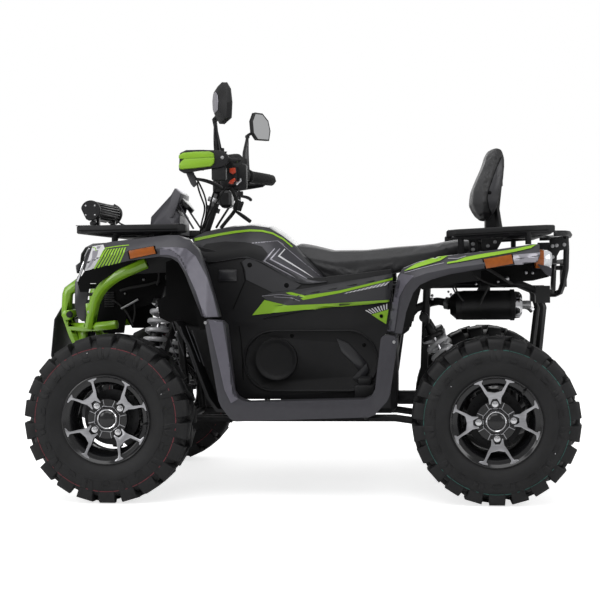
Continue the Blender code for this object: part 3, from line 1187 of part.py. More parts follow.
make_wheels()
make_handlebar()
make_hand_guards()
make_mirrors()
make_knuckles()
make_tie_rods()
make_frame()
make_engine()
make_front_suspension()
make_rear_suspension()
make_bumper()
make_bash_plate()
make_grille()
make_headlights()
make_front_fender()
make_front_rack()
make_light_bar()
make_dash_cowl()
make_body_cover()
make_side_panels()
make_footwells()
make_seat()
make_rear_fender()
make_rear_rack()
make_rear_guard()
make_backrest()
make_tail_lights()
make_muffler()

bpy.data.collections.remove(workshop)
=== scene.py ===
"""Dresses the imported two-up utility quad bike for its studio picture.

Front is -X, the vehicle's left side is -Y and +Z is up, all in metres.
"""
import math

import bpy
from mathutils import Matrix, Vector
from mathutils.bvhtree import BVHTree


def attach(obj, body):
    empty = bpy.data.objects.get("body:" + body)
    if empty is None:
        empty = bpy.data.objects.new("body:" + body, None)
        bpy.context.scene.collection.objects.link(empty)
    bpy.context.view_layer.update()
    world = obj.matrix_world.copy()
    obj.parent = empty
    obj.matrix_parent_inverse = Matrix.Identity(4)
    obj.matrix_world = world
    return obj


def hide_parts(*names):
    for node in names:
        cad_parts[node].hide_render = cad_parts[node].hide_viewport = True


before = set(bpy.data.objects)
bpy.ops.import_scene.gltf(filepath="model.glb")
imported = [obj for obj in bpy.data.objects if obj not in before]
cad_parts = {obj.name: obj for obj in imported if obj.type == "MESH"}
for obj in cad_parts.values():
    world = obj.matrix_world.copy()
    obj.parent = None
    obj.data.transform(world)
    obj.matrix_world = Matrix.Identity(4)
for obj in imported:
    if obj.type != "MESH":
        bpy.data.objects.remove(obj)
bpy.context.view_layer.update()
scene = bpy.context.scene
scene.view_settings.view_transform = "Standard"

SIDES = (("left", -1), ("right", 1))
FRONT_AXLE = -0.64
REAR_AXLE = 0.64
FOCAL_LENGTH = 1147.6
CAMERA_PLACE = Vector((0.443, -4.211, 0.748))
CAMERA_TURN = (math.radians(5.41), math.radians(-1.20), math.radians(-0.63))
CENTRE_SHIFT = 25
PICTURE = 600
HALF_PICTURE = 300
SENSOR = 36


# Camera and studio
def view_axes():
    yaw, pitch, roll = CAMERA_TURN
    ahead = Vector((-math.sin(yaw) * math.cos(pitch), math.cos(yaw) * math.cos(pitch), math.sin(pitch)))
    right = ahead.cross(Vector((0, 0, 1))).normalized()
    up = right.cross(ahead)
    across = right * math.cos(roll) + up * math.sin(roll)
    return ahead, across, across.cross(ahead)


AHEAD, ACROSS, UPWARD = view_axes()


def at_pixel(column, row, y):
    """The point at depth y that shows at a pixel of the 600 x 600 picture."""
    sight = AHEAD + ACROSS * ((column - HALF_PICTURE - CENTRE_SHIFT) / FOCAL_LENGTH) \
        - UPWARD * ((row - HALF_PICTURE) / FOCAL_LENGTH)
    return CAMERA_PLACE + sight * ((y - CAMERA_PLACE.y) / sight.y)


def set_camera():
    data = bpy.data.cameras.new("studio_camera")
    data.sensor_width = SENSOR
    data.lens = FOCAL_LENGTH * SENSOR / PICTURE
    data.shift_x = -CENTRE_SHIFT / PICTURE
    camera = bpy.data.objects.new("studio_camera", data)
    scene.collection.objects.link(camera)
    turn = Matrix((ACROSS, UPWARD, -AHEAD)).transposed().to_4x4()
    camera.matrix_world = Matrix.Translation(CAMERA_PLACE) @ turn
    scene.camera = camera


def node_in(tree, kind, **values):
    """Adds a shader node; values go to attributes or to sockets by name."""
    node = tree.nodes.new(kind)
    for key, value in values.items():
        if hasattr(node, key):
            setattr(node, key, value)
        else:
            node.inputs[key.replace("_", " ")].default_value = value
    return node


def set_studio():
    world = bpy.data.worlds.new("studio_air")
    world.use_nodes = True
    tree = world.node_tree
    tree.nodes.clear()
    soft = node_in(tree, "ShaderNodeBackground", Color=(1, 1, 1, 1), Strength=0.42)
    white = node_in(tree, "ShaderNodeBackground", Color=(1, 1, 1, 1), Strength=1.0)
    path = node_in(tree, "ShaderNodeLightPath")
    mix = node_in(tree, "ShaderNodeMixShader")
    tree.links.new(path.outputs["Is Camera Ray"], mix.inputs[0])
    tree.links.new(soft.outputs[0], mix.inputs[1])
    tree.links.new(white.outputs[0], mix.inputs[2])
    out = node_in(tree, "ShaderNodeOutputWorld")
    tree.links.new(mix.outputs[0], out.inputs[0])
    scene.world = world

    bpy.ops.mesh.primitive_plane_add(size=40, location=(0, 0, 0))
    floor = bpy.context.object
    floor.name = "studio_floor"
    material = bpy.data.materials.new("studio_floor")
    material.use_nodes = True
    tree = material.node_tree
    tree.nodes.clear()
    paper = node_in(tree, "ShaderNodeBsdfDiffuse", Color=(0.9, 0.9, 0.9, 1))
    glow = node_in(tree, "ShaderNodeEmission", Color=(1, 1, 1, 1), Strength=0.72)
    path = node_in(tree, "ShaderNodeLightPath")
    lit = node_in(tree, "ShaderNodeMixShader")
    both = node_in(tree, "ShaderNodeAddShader")
    tree.links.new(paper.outputs[0], both.inputs[0])
    tree.links.new(glow.outputs[0], both.inputs[1])
    tree.links.new(path.outputs["Is Camera Ray"], lit.inputs[0])
    tree.links.new(paper.outputs[0], lit.inputs[1])
    tree.links.new(both.outputs[0], lit.inputs[2])
    out = node_in(tree, "ShaderNodeOutputMaterial")
    tree.links.new(lit.outputs[0], out.inputs[0])
    floor.data.materials.append(material)

    for name, place, aim, size, power in (
            ("overhead_box", (-0.3, -1.6, 3.4), (0, 0, 0.6), 3.2, 60),
            ("front_left_box", (-3.2, -2.4, 1.9), (-0.4, 0, 0.6), 1.8, 34),
            ("tail_box", (3.4, -1.4, 1.8), (0.4, 0, 0.6), 1.6, 26),
            ("far_box", (0.2, 3.4, 2.2), (0, 0, 0.6), 2.4, 30)):
        data = bpy.data.lights.new(name, "AREA")
        data.shape = "SQUARE"
        data.size = size
        data.energy = power
        lamp = bpy.data.objects.new(name, data)
        scene.collection.objects.link(lamp)
        lamp.location = place
        lamp.rotation_euler = (Vector(aim) - Vector(place)).to_track_quat("-Z", "Y").to_euler()


# Finishes
def finish(name, colour, roughness=0.5, metallic=0.0, mottle=0.0, mottle_scale=6.0, grain=0.0, grain_scale=400.0,
           rough_change=0.0, coat=0.0, sheen=0.0, specular=0.5, stretch=(1, 1, 1)):
    """A Principled finish with uneven colour and gloss, and a fine bump, in object coordinates."""
    material = bpy.data.materials.new(name)
    material.use_nodes = True
    tree = material.node_tree
    shader = tree.nodes["Principled BSDF"]
    shader.inputs["Base Color"].default_value = (*colour, 1)
    shader.inputs["Roughness"].default_value = roughness
    shader.inputs["Metallic"].default_value = metallic
    shader.inputs["Coat Weight"].default_value = coat
    shader.inputs["Coat Roughness"].default_value = 0.08
    shader.inputs["Sheen Weight"].default_value = sheen
    shader.inputs["Specular IOR Level"].default_value = specular
    place = node_in(tree, "ShaderNodeTexCoord")
    mapping = node_in(tree, "ShaderNodeMapping", Scale=stretch)
    tree.links.new(place.outputs["Object"], mapping.inputs[0])
    cloud = node_in(tree, "ShaderNodeTexNoise", Scale=mottle_scale, Detail=6.0, Roughness=0.6)
    tree.links.new(mapping.outputs[0], cloud.inputs["Vector"])
    if mottle:
        tint = node_in(tree, "ShaderNodeValToRGB")
        tint.color_ramp.elements[0].position = 0.3
        tint.color_ramp.elements[1].position = 0.7
        low = tuple(max(0, c * (1 - mottle)) for c in colour)
        high = tuple(min(1, c * (1 + mottle) + mottle * 0.01) for c in colour)
        tint.color_ramp.elements[0].color = (*low, 1)
        tint.color_ramp.elements[1].color = (*high, 1)
        tree.links.new(cloud.outputs["Fac"], tint.inputs[0])
        tree.links.new(tint.outputs[0], shader.inputs["Base Color"])
    if rough_change:
        spread = node_in(tree, "ShaderNodeMapRange")
        spread.inputs["To Min"].default_value = max(0.02, roughness - rough_change)
        spread.inputs["To Max"].default_value = min(1.0, roughness + rough_change)
        tree.links.new(cloud.outputs["Fac"], spread.inputs["Value"])
        tree.links.new(spread.outputs[0], shader.inputs["Roughness"])
    if grain:
        fine = node_in(tree, "ShaderNodeTexNoise", Scale=grain_scale, Detail=3.0)
        tree.links.new(mapping.outputs[0], fine.inputs["Vector"])
        bump = node_in(tree, "ShaderNodeBump", Strength=grain, Distance=0.0006)
        tree.links.new(fine.outputs["Fac"], bump.inputs["Height"])
        tree.links.new(bump.outputs[0], shader.inputs["Normal"])
    return material


TYRE_RUBBER = finish("tyre_rubber", (0.0065, 0.0065, 0.0072), 0.58, mottle=0.35, mottle_scale=14, grain=0.35,
                     grain_scale=500, rough_change=0.10, specular=0.35)
WHEEL_BLACK = finish("wheel_gloss_black", (0.008, 0.008, 0.009), 0.22, 0.3, mottle=0.2, grain=0.05, coat=0.4)
WHEEL_FACE = finish("wheel_machined_face", (0.42, 0.42, 0.44), 0.30, 0.95, mottle=0.10, mottle_scale=30,
                    grain=0.15, grain_scale=900, rough_change=0.06, stretch=(1, 1, 6))
BRIGHT = finish("polished_chrome", (0.75, 0.75, 0.77), 0.12, 1.0, rough_change=0.05, mottle=0.04)
ZINC = finish("zinc_plate", (0.45, 0.45, 0.46), 0.34, 0.9, mottle=0.12, mottle_scale=60, rough_change=0.10)
LIME = finish("lime_paint", (0.215, 0.43, 0.018), 0.24, mottle=0.05, coat=0.5, grain=0.04, grain_scale=250)
LIME_PLASTIC = finish("lime_plastic", (0.23, 0.44, 0.018), 0.34, mottle=0.06, grain=0.08)
GREY = finish("titanium_grey_plastic", (0.045, 0.044, 0.052), 0.40, 0.30, mottle=0.06, mottle_scale=40,
              grain=0.10, grain_scale=1500, coat=0.08)
# Painted highlight: a lighter copy of the titanium grey for the bands where the rounded legs and the footwell catch
# the light.
HIGHLIGHT_GREY = finish("painted_highlight_grey", (0.125, 0.120, 0.145), 0.34, 0.35, mottle=0.06, mottle_scale=40)
DARK_GREY = finish("dark_grey_plastic", (0.040, 0.040, 0.044), 0.42, 0.1, mottle=0.06, grain=0.15,
                   grain_scale=1200)
TANK_BLACK = finish("cover_black", (0.018, 0.018, 0.021), 0.30, mottle=0.08, grain=0.06, coat=0.25)
MATT_BLACK = finish("moulded_black", (0.0085, 0.0085, 0.0095), 0.50, mottle=0.12, mottle_scale=18, grain=0.5,
                    grain_scale=1400, rough_change=0.06, specular=0.32)
DEEP_BLACK = finish("shadow_black", (0.003, 0.003, 0.0032), 0.75, mottle=0.15, grain=0.3, specular=0.12)
FRAME_BLACK = finish("frame_black_paint", (0.012, 0.012, 0.013), 0.38, 0.2, mottle=0.15, grain=0.10,
                     grain_scale=300, rough_change=0.08)
CAST_BLACK = finish("cast_alloy_black", (0.03, 0.03, 0.032), 0.48, 0.6, mottle=0.2, grain=0.4, grain_scale=350)
VINYL = finish("seat_vinyl", (0.030, 0.030, 0.032), 0.55, mottle=0.10, mottle_scale=12, grain=0.9,
               grain_scale=900, sheen=0.15, rough_change=0.05)
VINYL_SIDE = finish("seat_side_vinyl", (0.018, 0.018, 0.019), 0.60, mottle=0.10, grain=0.7, grain_scale=1100)
PIPE_BLACK = finish("exhaust_heat_paint", (0.012, 0.012, 0.013), 0.40, 0.3, mottle=0.2, grain=0.15)
SPRING_GREY = finish("spring_silver", (0.64, 0.64, 0.66), 0.38, 0.25, mottle=0.08, rough_change=0.06)
RUBBER = finish("soft_rubber", (0.013, 0.013, 0.013), 0.70, mottle=0.15, grain=0.3, grain_scale=700)
AMBER = finish("amber_reflector", (0.31, 0.074, 0.002), 0.28, mottle=0.18, mottle_scale=60, coat=0.15)
RED = finish("switch_red", (0.55, 0.055, 0.02), 0.35, mottle=0.08)
CLEAR = finish("lamp_lens", (0.75, 0.77, 0.80), 0.10, 0.25, mottle=0.06, mottle_scale=80, coat=0.6)
SILVER = finish("silver_panel", (0.34, 0.33, 0.37), 0.30, 0.5, mottle=0.06, coat=0.2)
MIRROR_GLASS = finish("mirror_glass", (0.86, 0.87, 0.88), 0.06, 1.0, mottle=0.02)
LIGHT_PRINT = finish("pale_print", (0.62, 0.62, 0.64), 0.35, mottle=0.04, coat=0.2)
LIME_PRINT = finish("lime_print", (0.26, 0.50, 0.016), 0.32, mottle=0.04, coat=0.2)
SKID = finish("skid_plate_grey", (0.070, 0.070, 0.078), 0.45, 0.5, mottle=0.15, grain=0.2, rough_change=0.08)
RED_LINE = finish("mould_line_red", (0.16, 0.02, 0.03), 0.6, mottle=0.2)
TEAL_LINE = finish("mould_line_teal", (0.02, 0.10, 0.085), 0.6, mottle=0.2)

# Finishes with the slot they go to
MOULDED = (MATT_BLACK, "black_plastic")
HOSE = (RUBBER, "black_plastic")
SHADOW = (DEEP_BLACK, "black_plastic")
PLATED = (ZINC, "black_steel")
PAINTED = (FRAME_BLACK, "black_steel")
GREY_MOULDED = (DARK_GREY, "black_plastic")
GLOSS_MOULDED = (TANK_BLACK, "black_plastic")


# Bench tools
def deselect():
    if bpy.context.object and bpy.context.object.mode != "OBJECT":
        bpy.ops.object.mode_set(mode="OBJECT")
    bpy.ops.object.select_all(action="DESELECT")


def fresh(name):
    """The primitive that was just added, under its name."""
    piece = bpy.context.object
    piece.name = name
    return piece


def take_up(piece):
    deselect()
    bpy.context.view_layer.objects.active = piece
    piece.select_set(True)
    return piece


def with_modifier(piece, kind, **settings):
    """Adds a modifier with its settings and applies it."""
    take_up(piece)
    step = piece.modifiers.new(kind.lower(), kind)
    for key, value in settings.items():
        setattr(step, key, value)
    bpy.ops.object.modifier_apply(modifier=step.name)
    return piece


def clean(piece, merge=1e-5):
    """Merges doubles and turns every face outwards."""
    take_up(piece)
    bpy.ops.object.mode_set(mode="EDIT")
    bpy.ops.mesh.select_all(action="SELECT")
    bpy.ops.mesh.remove_doubles(threshold=merge)
    bpy.ops.mesh.normals_make_consistent(inside=False)
    bpy.ops.object.mode_set(mode="OBJECT")
    return piece


def softened(piece, width, segments=2, angle=30):
    return with_modifier(piece, "BEVEL", width=width, segments=segments, limit_method="ANGLE",
                         angle_limit=math.radians(angle), harden_normals=False)


def smoothed(piece, angle=35):
    take_up(piece)
    bpy.ops.object.shade_smooth_by_angle(angle=math.radians(angle))
    return piece


def coat_with(piece, *materials):
    piece.data.materials.clear()
    for material in materials:
        piece.data.materials.append(material)
    return piece


def file_piece(piece, name, body, material=None, slot=None, angle=35):
    """Names a finished piece, settles its place into its mesh and mounts it on a body."""
    take_up(piece)
    bpy.ops.object.transform_apply(location=True, rotation=True, scale=True)
    piece.name = name
    piece.data.name = name
    if material is not None:
        coat_with(piece, material)
    smoothed(piece, angle)
    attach(piece, body)
    return piece


def joined(pieces, name=None):
    take_up(pieces[0])
    for piece in pieces:
        piece.select_set(True)
    bpy.ops.object.join()
    piece = bpy.context.object
    if name:
        piece.name = name
    return piece


def copied(piece, move=None):
    """A copy with its own mesh."""
    twin = piece.copy()
    twin.data = piece.data.copy()
    scene.collection.objects.link(twin)
    if move is not None:
        twin.data.transform(move)
        if move.determinant() < 0:
            twin.data.flip_normals()
    return twin


ACROSS_CENTRE = Matrix.Scale(-1, 4, (0, 1, 0))


def skin(rows, name="skin", closed=False):
    """A grid laid over rows of points; closed rows join their ends."""
    deselect()
    columns = len(rows[0])
    bpy.ops.mesh.primitive_grid_add(x_subdivisions=columns - 1, y_subdivisions=len(rows) - 1)
    piece = fresh(name)
    for index, vertex in enumerate(piece.data.vertices):
        vertex.co = rows[index // columns][index % columns]
    piece.data.update()
    if closed:
        clean(piece)
    return piece


def sheet_panel(outline, name="panel"):
    """A flat filled outline from a primitive circle."""
    deselect()
    bpy.ops.mesh.primitive_circle_add(vertices=len(outline), fill_type="NGON")
    piece = fresh(name)
    for vertex, spot in zip(piece.data.vertices, outline):
        vertex.co = spot
    return piece


def slab(outline, push, name="slab"):
    """A filled outline drawn out along a vector into a closed solid."""
    piece = sheet_panel(outline, name)
    bpy.ops.object.mode_set(mode="EDIT")
    bpy.ops.mesh.select_all(action="SELECT")
    bpy.ops.mesh.extrude_region_move(TRANSFORM_OT_translate={"value": tuple(push)})
    bpy.ops.mesh.select_all(action="SELECT")
    bpy.ops.mesh.normals_make_consistent(inside=False)
    bpy.ops.object.mode_set(mode="OBJECT")
    return piece


def side_slab(outline, y, thickness, name="slab"):
    """A slab from (x, z) points, from y to y + thickness."""
    return slab([(x, y, z) for x, z in outline], (0, thickness, 0), name)


def box(low, high, soft=0.0, name="box"):
    deselect()
    low, high = Vector(low), Vector(high)
    bpy.ops.mesh.primitive_cube_add(size=1, location=(low + high) / 2, scale=high - low)
    piece = fresh(name)
    bpy.ops.object.transform_apply(location=True, rotation=True, scale=True)
    if soft:
        softened(piece, soft, 2)
    return piece


def drum(start, end, radius, end_radius=None, sides=24, soft=0.0, name="drum"):
    """A round bar or cone between two points."""
    deselect()
    start, end = Vector(start), Vector(end)
    span = end - start
    turn = span.to_track_quat("Z", "Y").to_euler()
    bpy.ops.mesh.primitive_cone_add(vertices=sides, radius1=radius,
                                    radius2=radius if end_radius is None else end_radius,
                                    depth=span.length, location=(start + end) / 2, rotation=turn)
    piece = fresh(name)
    bpy.ops.object.transform_apply(location=True, rotation=True, scale=True)
    if soft:
        softened(piece, soft, 2)
    return piece


def ball(centre, size, name="ball", segments=20, rings=12):
    deselect()
    bpy.ops.mesh.primitive_uv_sphere_add(segments=segments, ring_count=rings, radius=1, location=centre, scale=size)
    piece = fresh(name)
    bpy.ops.object.transform_apply(location=True, rotation=True, scale=True)
    return piece


def tube(points, radius, name="tube", smooth=True, sides=3, closed=False, taper=None):
    """A round tube, hose or rod along a route; a taper scales its radius at each point."""
    deselect()
    bpy.ops.curve.primitive_nurbs_path_add()
    piece = bpy.context.object
    data = piece.data
    data.splines.clear()
    kind = "NURBS" if smooth else "POLY"
    spline = data.splines.new(kind)
    spline.points.add(len(points) - 1)
    for point, spot in zip(spline.points, points):
        point.co = (*spot, 1)
    if taper:
        for point, share in zip(spline.points, taper):
            point.radius = share
    if smooth:
        spline.order_u = min(4, len(points))
        spline.use_endpoint_u = not closed
        spline.resolution_u = 6
    spline.use_cyclic_u = closed
    data.bevel_depth = radius
    data.bevel_resolution = sides
    data.use_fill_caps = True
    take_up(piece)
    bpy.ops.object.convert(target="MESH")
    piece = fresh(name)
    return clean(piece)


def turned(profile, centre, axis=(0, 1, 0), steps=64, name="turned"):
    """A closed (radius, distance) profile spun about an axis through the centre."""
    deselect()
    centre, axis = Vector(centre), Vector(axis).normalized()
    side = axis.orthogonal().normalized() if abs(axis.y) < 0.99 else Vector((1, 0, 0))
    bpy.ops.mesh.primitive_circle_add(vertices=len(profile), fill_type="NOTHING")
    piece = fresh(name)
    for vertex, (radius, along) in zip(piece.data.vertices, profile):
        vertex.co = centre + side * radius + axis * along
    bpy.ops.object.mode_set(mode="EDIT")
    bpy.ops.mesh.select_all(action="SELECT")
    bpy.ops.mesh.spin(steps=steps, angle=math.tau, center=centre, axis=axis)
    bpy.ops.mesh.select_all(action="SELECT")
    bpy.ops.mesh.remove_doubles(threshold=1e-5)
    bpy.ops.mesh.dissolve_degenerate(threshold=1e-6)
    bpy.ops.mesh.normals_make_consistent(inside=False)
    bpy.ops.object.mode_set(mode="OBJECT")
    return piece


def ring_of(piece, count, centre, axis=(0, 1, 0)):
    """Copies a piece round an axis with an array about a turned empty."""
    centre = Vector(centre)
    piece.data.transform(Matrix.Translation(-centre))
    hub = bpy.data.objects.new("array_turn", None)
    scene.collection.objects.link(hub)
    hub.matrix_world = Matrix.Rotation(math.tau / count, 4, Vector(axis))
    bpy.context.view_layer.update()
    with_modifier(piece, "ARRAY", count=count, use_relative_offset=False, use_object_offset=True,
                  offset_object=hub, use_merge_vertices=False)
    bpy.data.objects.remove(hub)
    piece.data.transform(Matrix.Translation(centre))
    return piece


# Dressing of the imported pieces
FLAT_ANGLE = 1.0


def packed_copy(node, name):
    """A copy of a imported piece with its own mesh, without stored normals or doubles."""
    piece = copied(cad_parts[node])
    piece.name = name
    piece.data.name = name
    take_up(piece)
    if piece.data.has_custom_normals:
        bpy.ops.mesh.customdata_custom_splitnormals_clear()
    return clean(piece, 2e-5)


def refined(node, body, material, width=0.0015, segments=2, angle=30, slot=None):
    """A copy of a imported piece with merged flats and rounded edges, which stands for it."""
    piece = packed_copy(node, node + "_skin")
    bpy.ops.object.mode_set(mode="EDIT")
    bpy.ops.mesh.select_all(action="SELECT")
    bpy.ops.mesh.dissolve_limited(angle_limit=math.radians(FLAT_ANGLE))
    bpy.ops.object.mode_set(mode="OBJECT")
    if width:
        softened(piece, width, segments, angle)
    coat_with(piece, material)
    smoothed(piece)
    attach(piece, body)
    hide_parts(node)
    return piece


# Tyres
FRONT_TYRE = {
    "radius": 0.281, "centre_z": 0.281, "x": FRONT_AXLE, "y": 0.44, "line": RED_LINE,
    "carcass": [(127.5, 66), (137, 67), (146, 71.5), (152, 72.5), (158, 75), (168, 81), (180, 86.5), (192, 89.2),
                (205, 89.8), (216, 88.4), (226, 85.5), (236, 81), (244, 75.5), (252, 67), (258, 56), (262, 42),
                (264.5, 22), (265, 0)],
    "shoulder": [(238, 80.8, 236, 79.5), (250, 80.5, 242, 75.5), (263, 79, 249, 69), (272, 75.5, 253, 63),
                 (277.5, 69, 256, 57), (280, 58, 259, 50), (281, 40, 261.5, 38)],
    "crown": [(281, 27, 262, 30), (281, 10, 264, 10), (281, -10, 264, -10), (281, -27, 262, -30)],
    "relief": (201, 238)}
REAR_TYRE = {
    "radius": 0.273, "centre_z": 0.273, "x": REAR_AXLE, "y": 0.40, "line": TEAL_LINE,
    "carcass": [(127.5, 100), (137, 101), (146, 106), (152, 107), (158, 110), (168, 116), (180, 121), (192, 124),
                (204, 124.8), (214, 123.5), (223, 120), (232, 114), (240, 105), (247, 92), (252, 76), (255, 56),
                (256.6, 30), (257, 0)],
    "shoulder": [(233, 114.5, 231, 113), (245, 115, 238, 107), (257, 113.5, 244, 98), (266, 109, 248, 88),
                 (270.5, 101, 251, 82), (272.3, 84, 253, 74), (273, 58, 255, 56)],
    "crown": [(273, 42, 255, 46), (273, 15, 256, 15), (273, -15, 256, -15), (273, -42, 255, -46)],
    "relief": (198, 233)}
FEATURES = 22
LUG_LEAN = 0.9
CROWN_SLANT = 0.16
CROWN_HALF = 0.24


def on_wall(tyre, radius, lift=0.0):
    """Half width of the outer sidewall at a radius in mm, raised by a lift in mm."""
    spots = tyre["carcass"]
    for (r0, y0), (r1, y1) in zip(spots, spots[1:]):
        if r0 <= radius <= r1:
            t = (radius - r0) / (r1 - r0)
            slope = Vector((y0 - y1, r1 - r0)).normalized()
            return radius + slope.x * lift, y0 + t * (y1 - y0) + slope.y * lift
    return radius, spots[-1][1]


def wheel_point(radius, y, angle):
    """Millimetres about the wheel's centre to metres; the angle is in degrees."""
    turn = math.radians(angle)
    return Vector((radius * math.cos(turn), y, radius * math.sin(turn))) / 1000


def capped(sections, name):
    """A skin over closed sections, with both of its ends filled."""
    piece = skin(sections, name)
    bpy.ops.object.mode_set(mode="EDIT")
    bpy.ops.mesh.select_all(action="SELECT")
    bpy.ops.mesh.remove_doubles(threshold=1e-6)
    bpy.ops.mesh.fill_holes(sides=8)
    bpy.ops.mesh.normals_make_consistent(inside=False)
    bpy.ops.object.mode_set(mode="OBJECT")
    return piece


def tread_block(rows, side, name="tread_block", soft=0.0012):
    """A closed lug over rows of (top radius, top y, base radius, base y, low angle, high angle)."""
    sections = []
    for top_r, top_y, base_r, base_y, low, high in rows:
        sections.append([wheel_point(base_r, side * base_y, low - LUG_LEAN),
                         wheel_point(top_r, side * top_y, low), wheel_point(top_r, side * top_y, high),
                         wheel_point(base_r, side * base_y, high + LUG_LEAN),
                         wheel_point(base_r, side * base_y, low - LUG_LEAN)])
    return softened(capped(sections, name), soft, 2, 40)


def wall_rib(tyre, route, side, width=2.6, lift=1.8):
    """A thin raised line on the sidewall through (radius, angle) points."""
    sections = []
    for i, (radius, angle) in enumerate(route):
        before = route[max(i - 1, 0)]
        after = route[min(i + 1, len(route) - 1)]
        run = Vector((after[0] - before[0], math.radians(after[1] - before[1]) * radius)).normalized()
        across = Vector((-run.y, run.x)) * width / 2
        section = []
        for reach, height in ((-1.5, -0.8), (-0.75, lift), (0.75, lift), (1.5, -0.8)):
            spot_r = radius + across.x * reach
            spot_a = angle + math.degrees(across.y * reach / radius)
            r, y = on_wall(tyre, spot_r, height)
            section.append(wheel_point(r, side * y, spot_a))
        section.append(section[0])
        sections.append(section)
    return capped(sections, "wall_rib")


def wall_pad(tyre, rows, side, lift=2.4):
    """A raised pad on the sidewall over rows of (radius, low angle, high angle)."""
    blocks = []
    for radius, low, high in rows:
        top = on_wall(tyre, radius, lift)
        base = on_wall(tyre, radius, -1.0)
        blocks.append((*top, *base, low, high))
    return tread_block(blocks, side, "wall_pad", 0.0007)


def tread_sector(tyre, side):
    """One eleventh of one half of the tread: two shoulder lugs and their sidewall relief."""
    step = 360 / FEATURES
    low, high = tyre["relief"]
    pieces = []
    for index in range(2):
        start = index * step
        narrow = 0.30 * step
        rows = []
        for i, row in enumerate(tyre["shoulder"]):
            widen = 0.08 * step * (i / 6 if index else 1 - i / 6)
            rows.append((*row, start - narrow - widen, start + narrow + widen))
        if index:
            rows[-1] = (rows[-1][0], rows[-1][1] - 8, rows[-1][2], rows[-1][3] - 8, *rows[-1][4:])
        pieces.append(tread_block(rows, side, "shoulder_lug"))
    wide = 0.36 * step
    route = [(high, -wide), (low + 6, -wide * 0.62), (low + 1, -wide * 0.5), (low + 1, wide * 0.5),
             (low + 6, wide * 0.62), (high, wide)]
    pieces.append(wall_rib(tyre, route, side))
    route = [(high - 5, -wide * 0.55), (low + 14, -wide * 0.34), (low + 14, wide * 0.34), (high - 5, wide * 0.55)]
    pieces.append(wall_rib(tyre, route, side, 1.8, 1.2))
    pieces.append(wall_pad(tyre, [(low + 3, step - wide * 0.66, step - wide * 0.16),
                                  (low + 14, step - wide * 0.78, step - wide * 0.14),
                                  (high + 1, step - wide * 0.95, step - wide * 0.10)], side))
    pieces.append(wall_pad(tyre, [(low + 3, step + wide * 0.10, step + wide * 0.66),
                                  (low + 9, step + wide * 0.12, step + wide * 0.72),
                                  (low + 15, step + wide * 0.34, step + wide * 0.80),
                                  (high + 1, step + wide * 0.30, step + wide * 0.95)], side))
    return joined(pieces)


def make_tyre(tyre, side, word, end):
    """Carcass, shoulder lugs on both walls, staggered centre lugs and mould line."""
    centre = Vector((0, 0, 0))
    outer = [(r / 1000, y / 1000) for r, y in tyre["carcass"]]
    inner = [(r, -y) for r, y in reversed(outer[:-1])]
    lining = [(0.1272, -outer[0][1] + 0.004), (0.135, -outer[0][1] + 0.006), (0.15, -outer[3][1] + 0.010),
              (0.15, outer[3][1] - 0.010), (0.135, outer[0][1] - 0.006), (0.1272, outer[0][1] - 0.004)]
    carcass = turned(outer + inner + lining, centre, (0, 1, 0), 132, "carcass")
    step = 360 / FEATURES
    pieces = [carcass]
    for wall in (1, -1):
        sector = ring_of(tread_sector(tyre, wall), FEATURES // 2, centre)
        if wall < 0:
            sector.data.transform(Matrix.Rotation(math.radians(-step / 2), 4, "Y"))
        pieces.append(sector)
    middle = []
    for index in (0, 1):
        start = index * step + step * 0.25
        rows = []
        for i, row in enumerate(tyre["crown"]):
            lead = (i - 1.5) * step * CROWN_SLANT * (1 if index else -1)
            if index:
                row = (row[0], row[1] * 0.8 + 0.12 * tyre["crown"][0][1], row[2],
                       row[3] * 0.8 + 0.12 * tyre["crown"][0][1])
            rows.append((*row, start - CROWN_HALF * step + lead, start + CROWN_HALF * step + lead))
        middle.append(tread_block(rows, 1, "centre_lug"))
    pieces.append(ring_of(joined(middle), FEATURES // 2, centre))
    low, high = tyre["relief"]
    for radius, size in ((high - 1.0, 1.3), (low - 2, 0.8)):
        if radius < high - 2:
            r, y = on_wall(tyre, radius, 0.0)
            for wall in (1, -1):
                pieces.append(turned([((r + size * math.cos(a)) / 1000, (wall * y + size * math.sin(a)) / 1000)
                                      for a in (0, 1.57, 3.14, 4.71)], centre, (0, 1, 0), 96, "wall_ring"))
    stem = "tyre_" + end + "_" + word
    body = joined(pieces, stem + "_tread")
    place = Vector((tyre["x"], side * tyre["y"], tyre["centre_z"]))
    if side > 0:
        body.data.transform(Matrix.Rotation(math.pi, 4, "Z"))
    body.data.transform(Matrix.Translation(place))
    wheel = "wheel_" + end + "_" + word
    file_piece(body, stem + "_tread", wheel, TYRE_RUBBER, "tyre", 40)
    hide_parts(stem)
    r, y = on_wall(tyre, high - 0.5, 0.0)
    rings = []
    for wall in (1, -1):
        rings.append(turned([((r + 1.5 * math.cos(a)) / 1000, (wall * y + 1.4 * math.sin(a)) / 1000)
                             for a in (0, 1.05, 2.09, 3.14, 4.19, 5.24)], place, (0, 1, 0), 96, "mould_line"))
    file_piece(joined(rings), stem + "_mould_line", wheel, tyre["line"], "tyre")
    pins = []
    for spot in ((247, 104), (226, 24)) if end == "front" else ((194, 141), (222, -28)):
        r, y = on_wall(tyre, spot[0] * 0.8 + 30, 0.5)
        at = place + wheel_point(r, -y if side < 0 else y, spot[1])
        pins.append(drum(at, at + Vector((0, side * 0.0035, 0)), 0.0016, 0.0010, 10, name="moulding_pin"))
    file_piece(joined(pins), stem + "_moulding_pins", wheel, LIGHT_PRINT, "tyre")


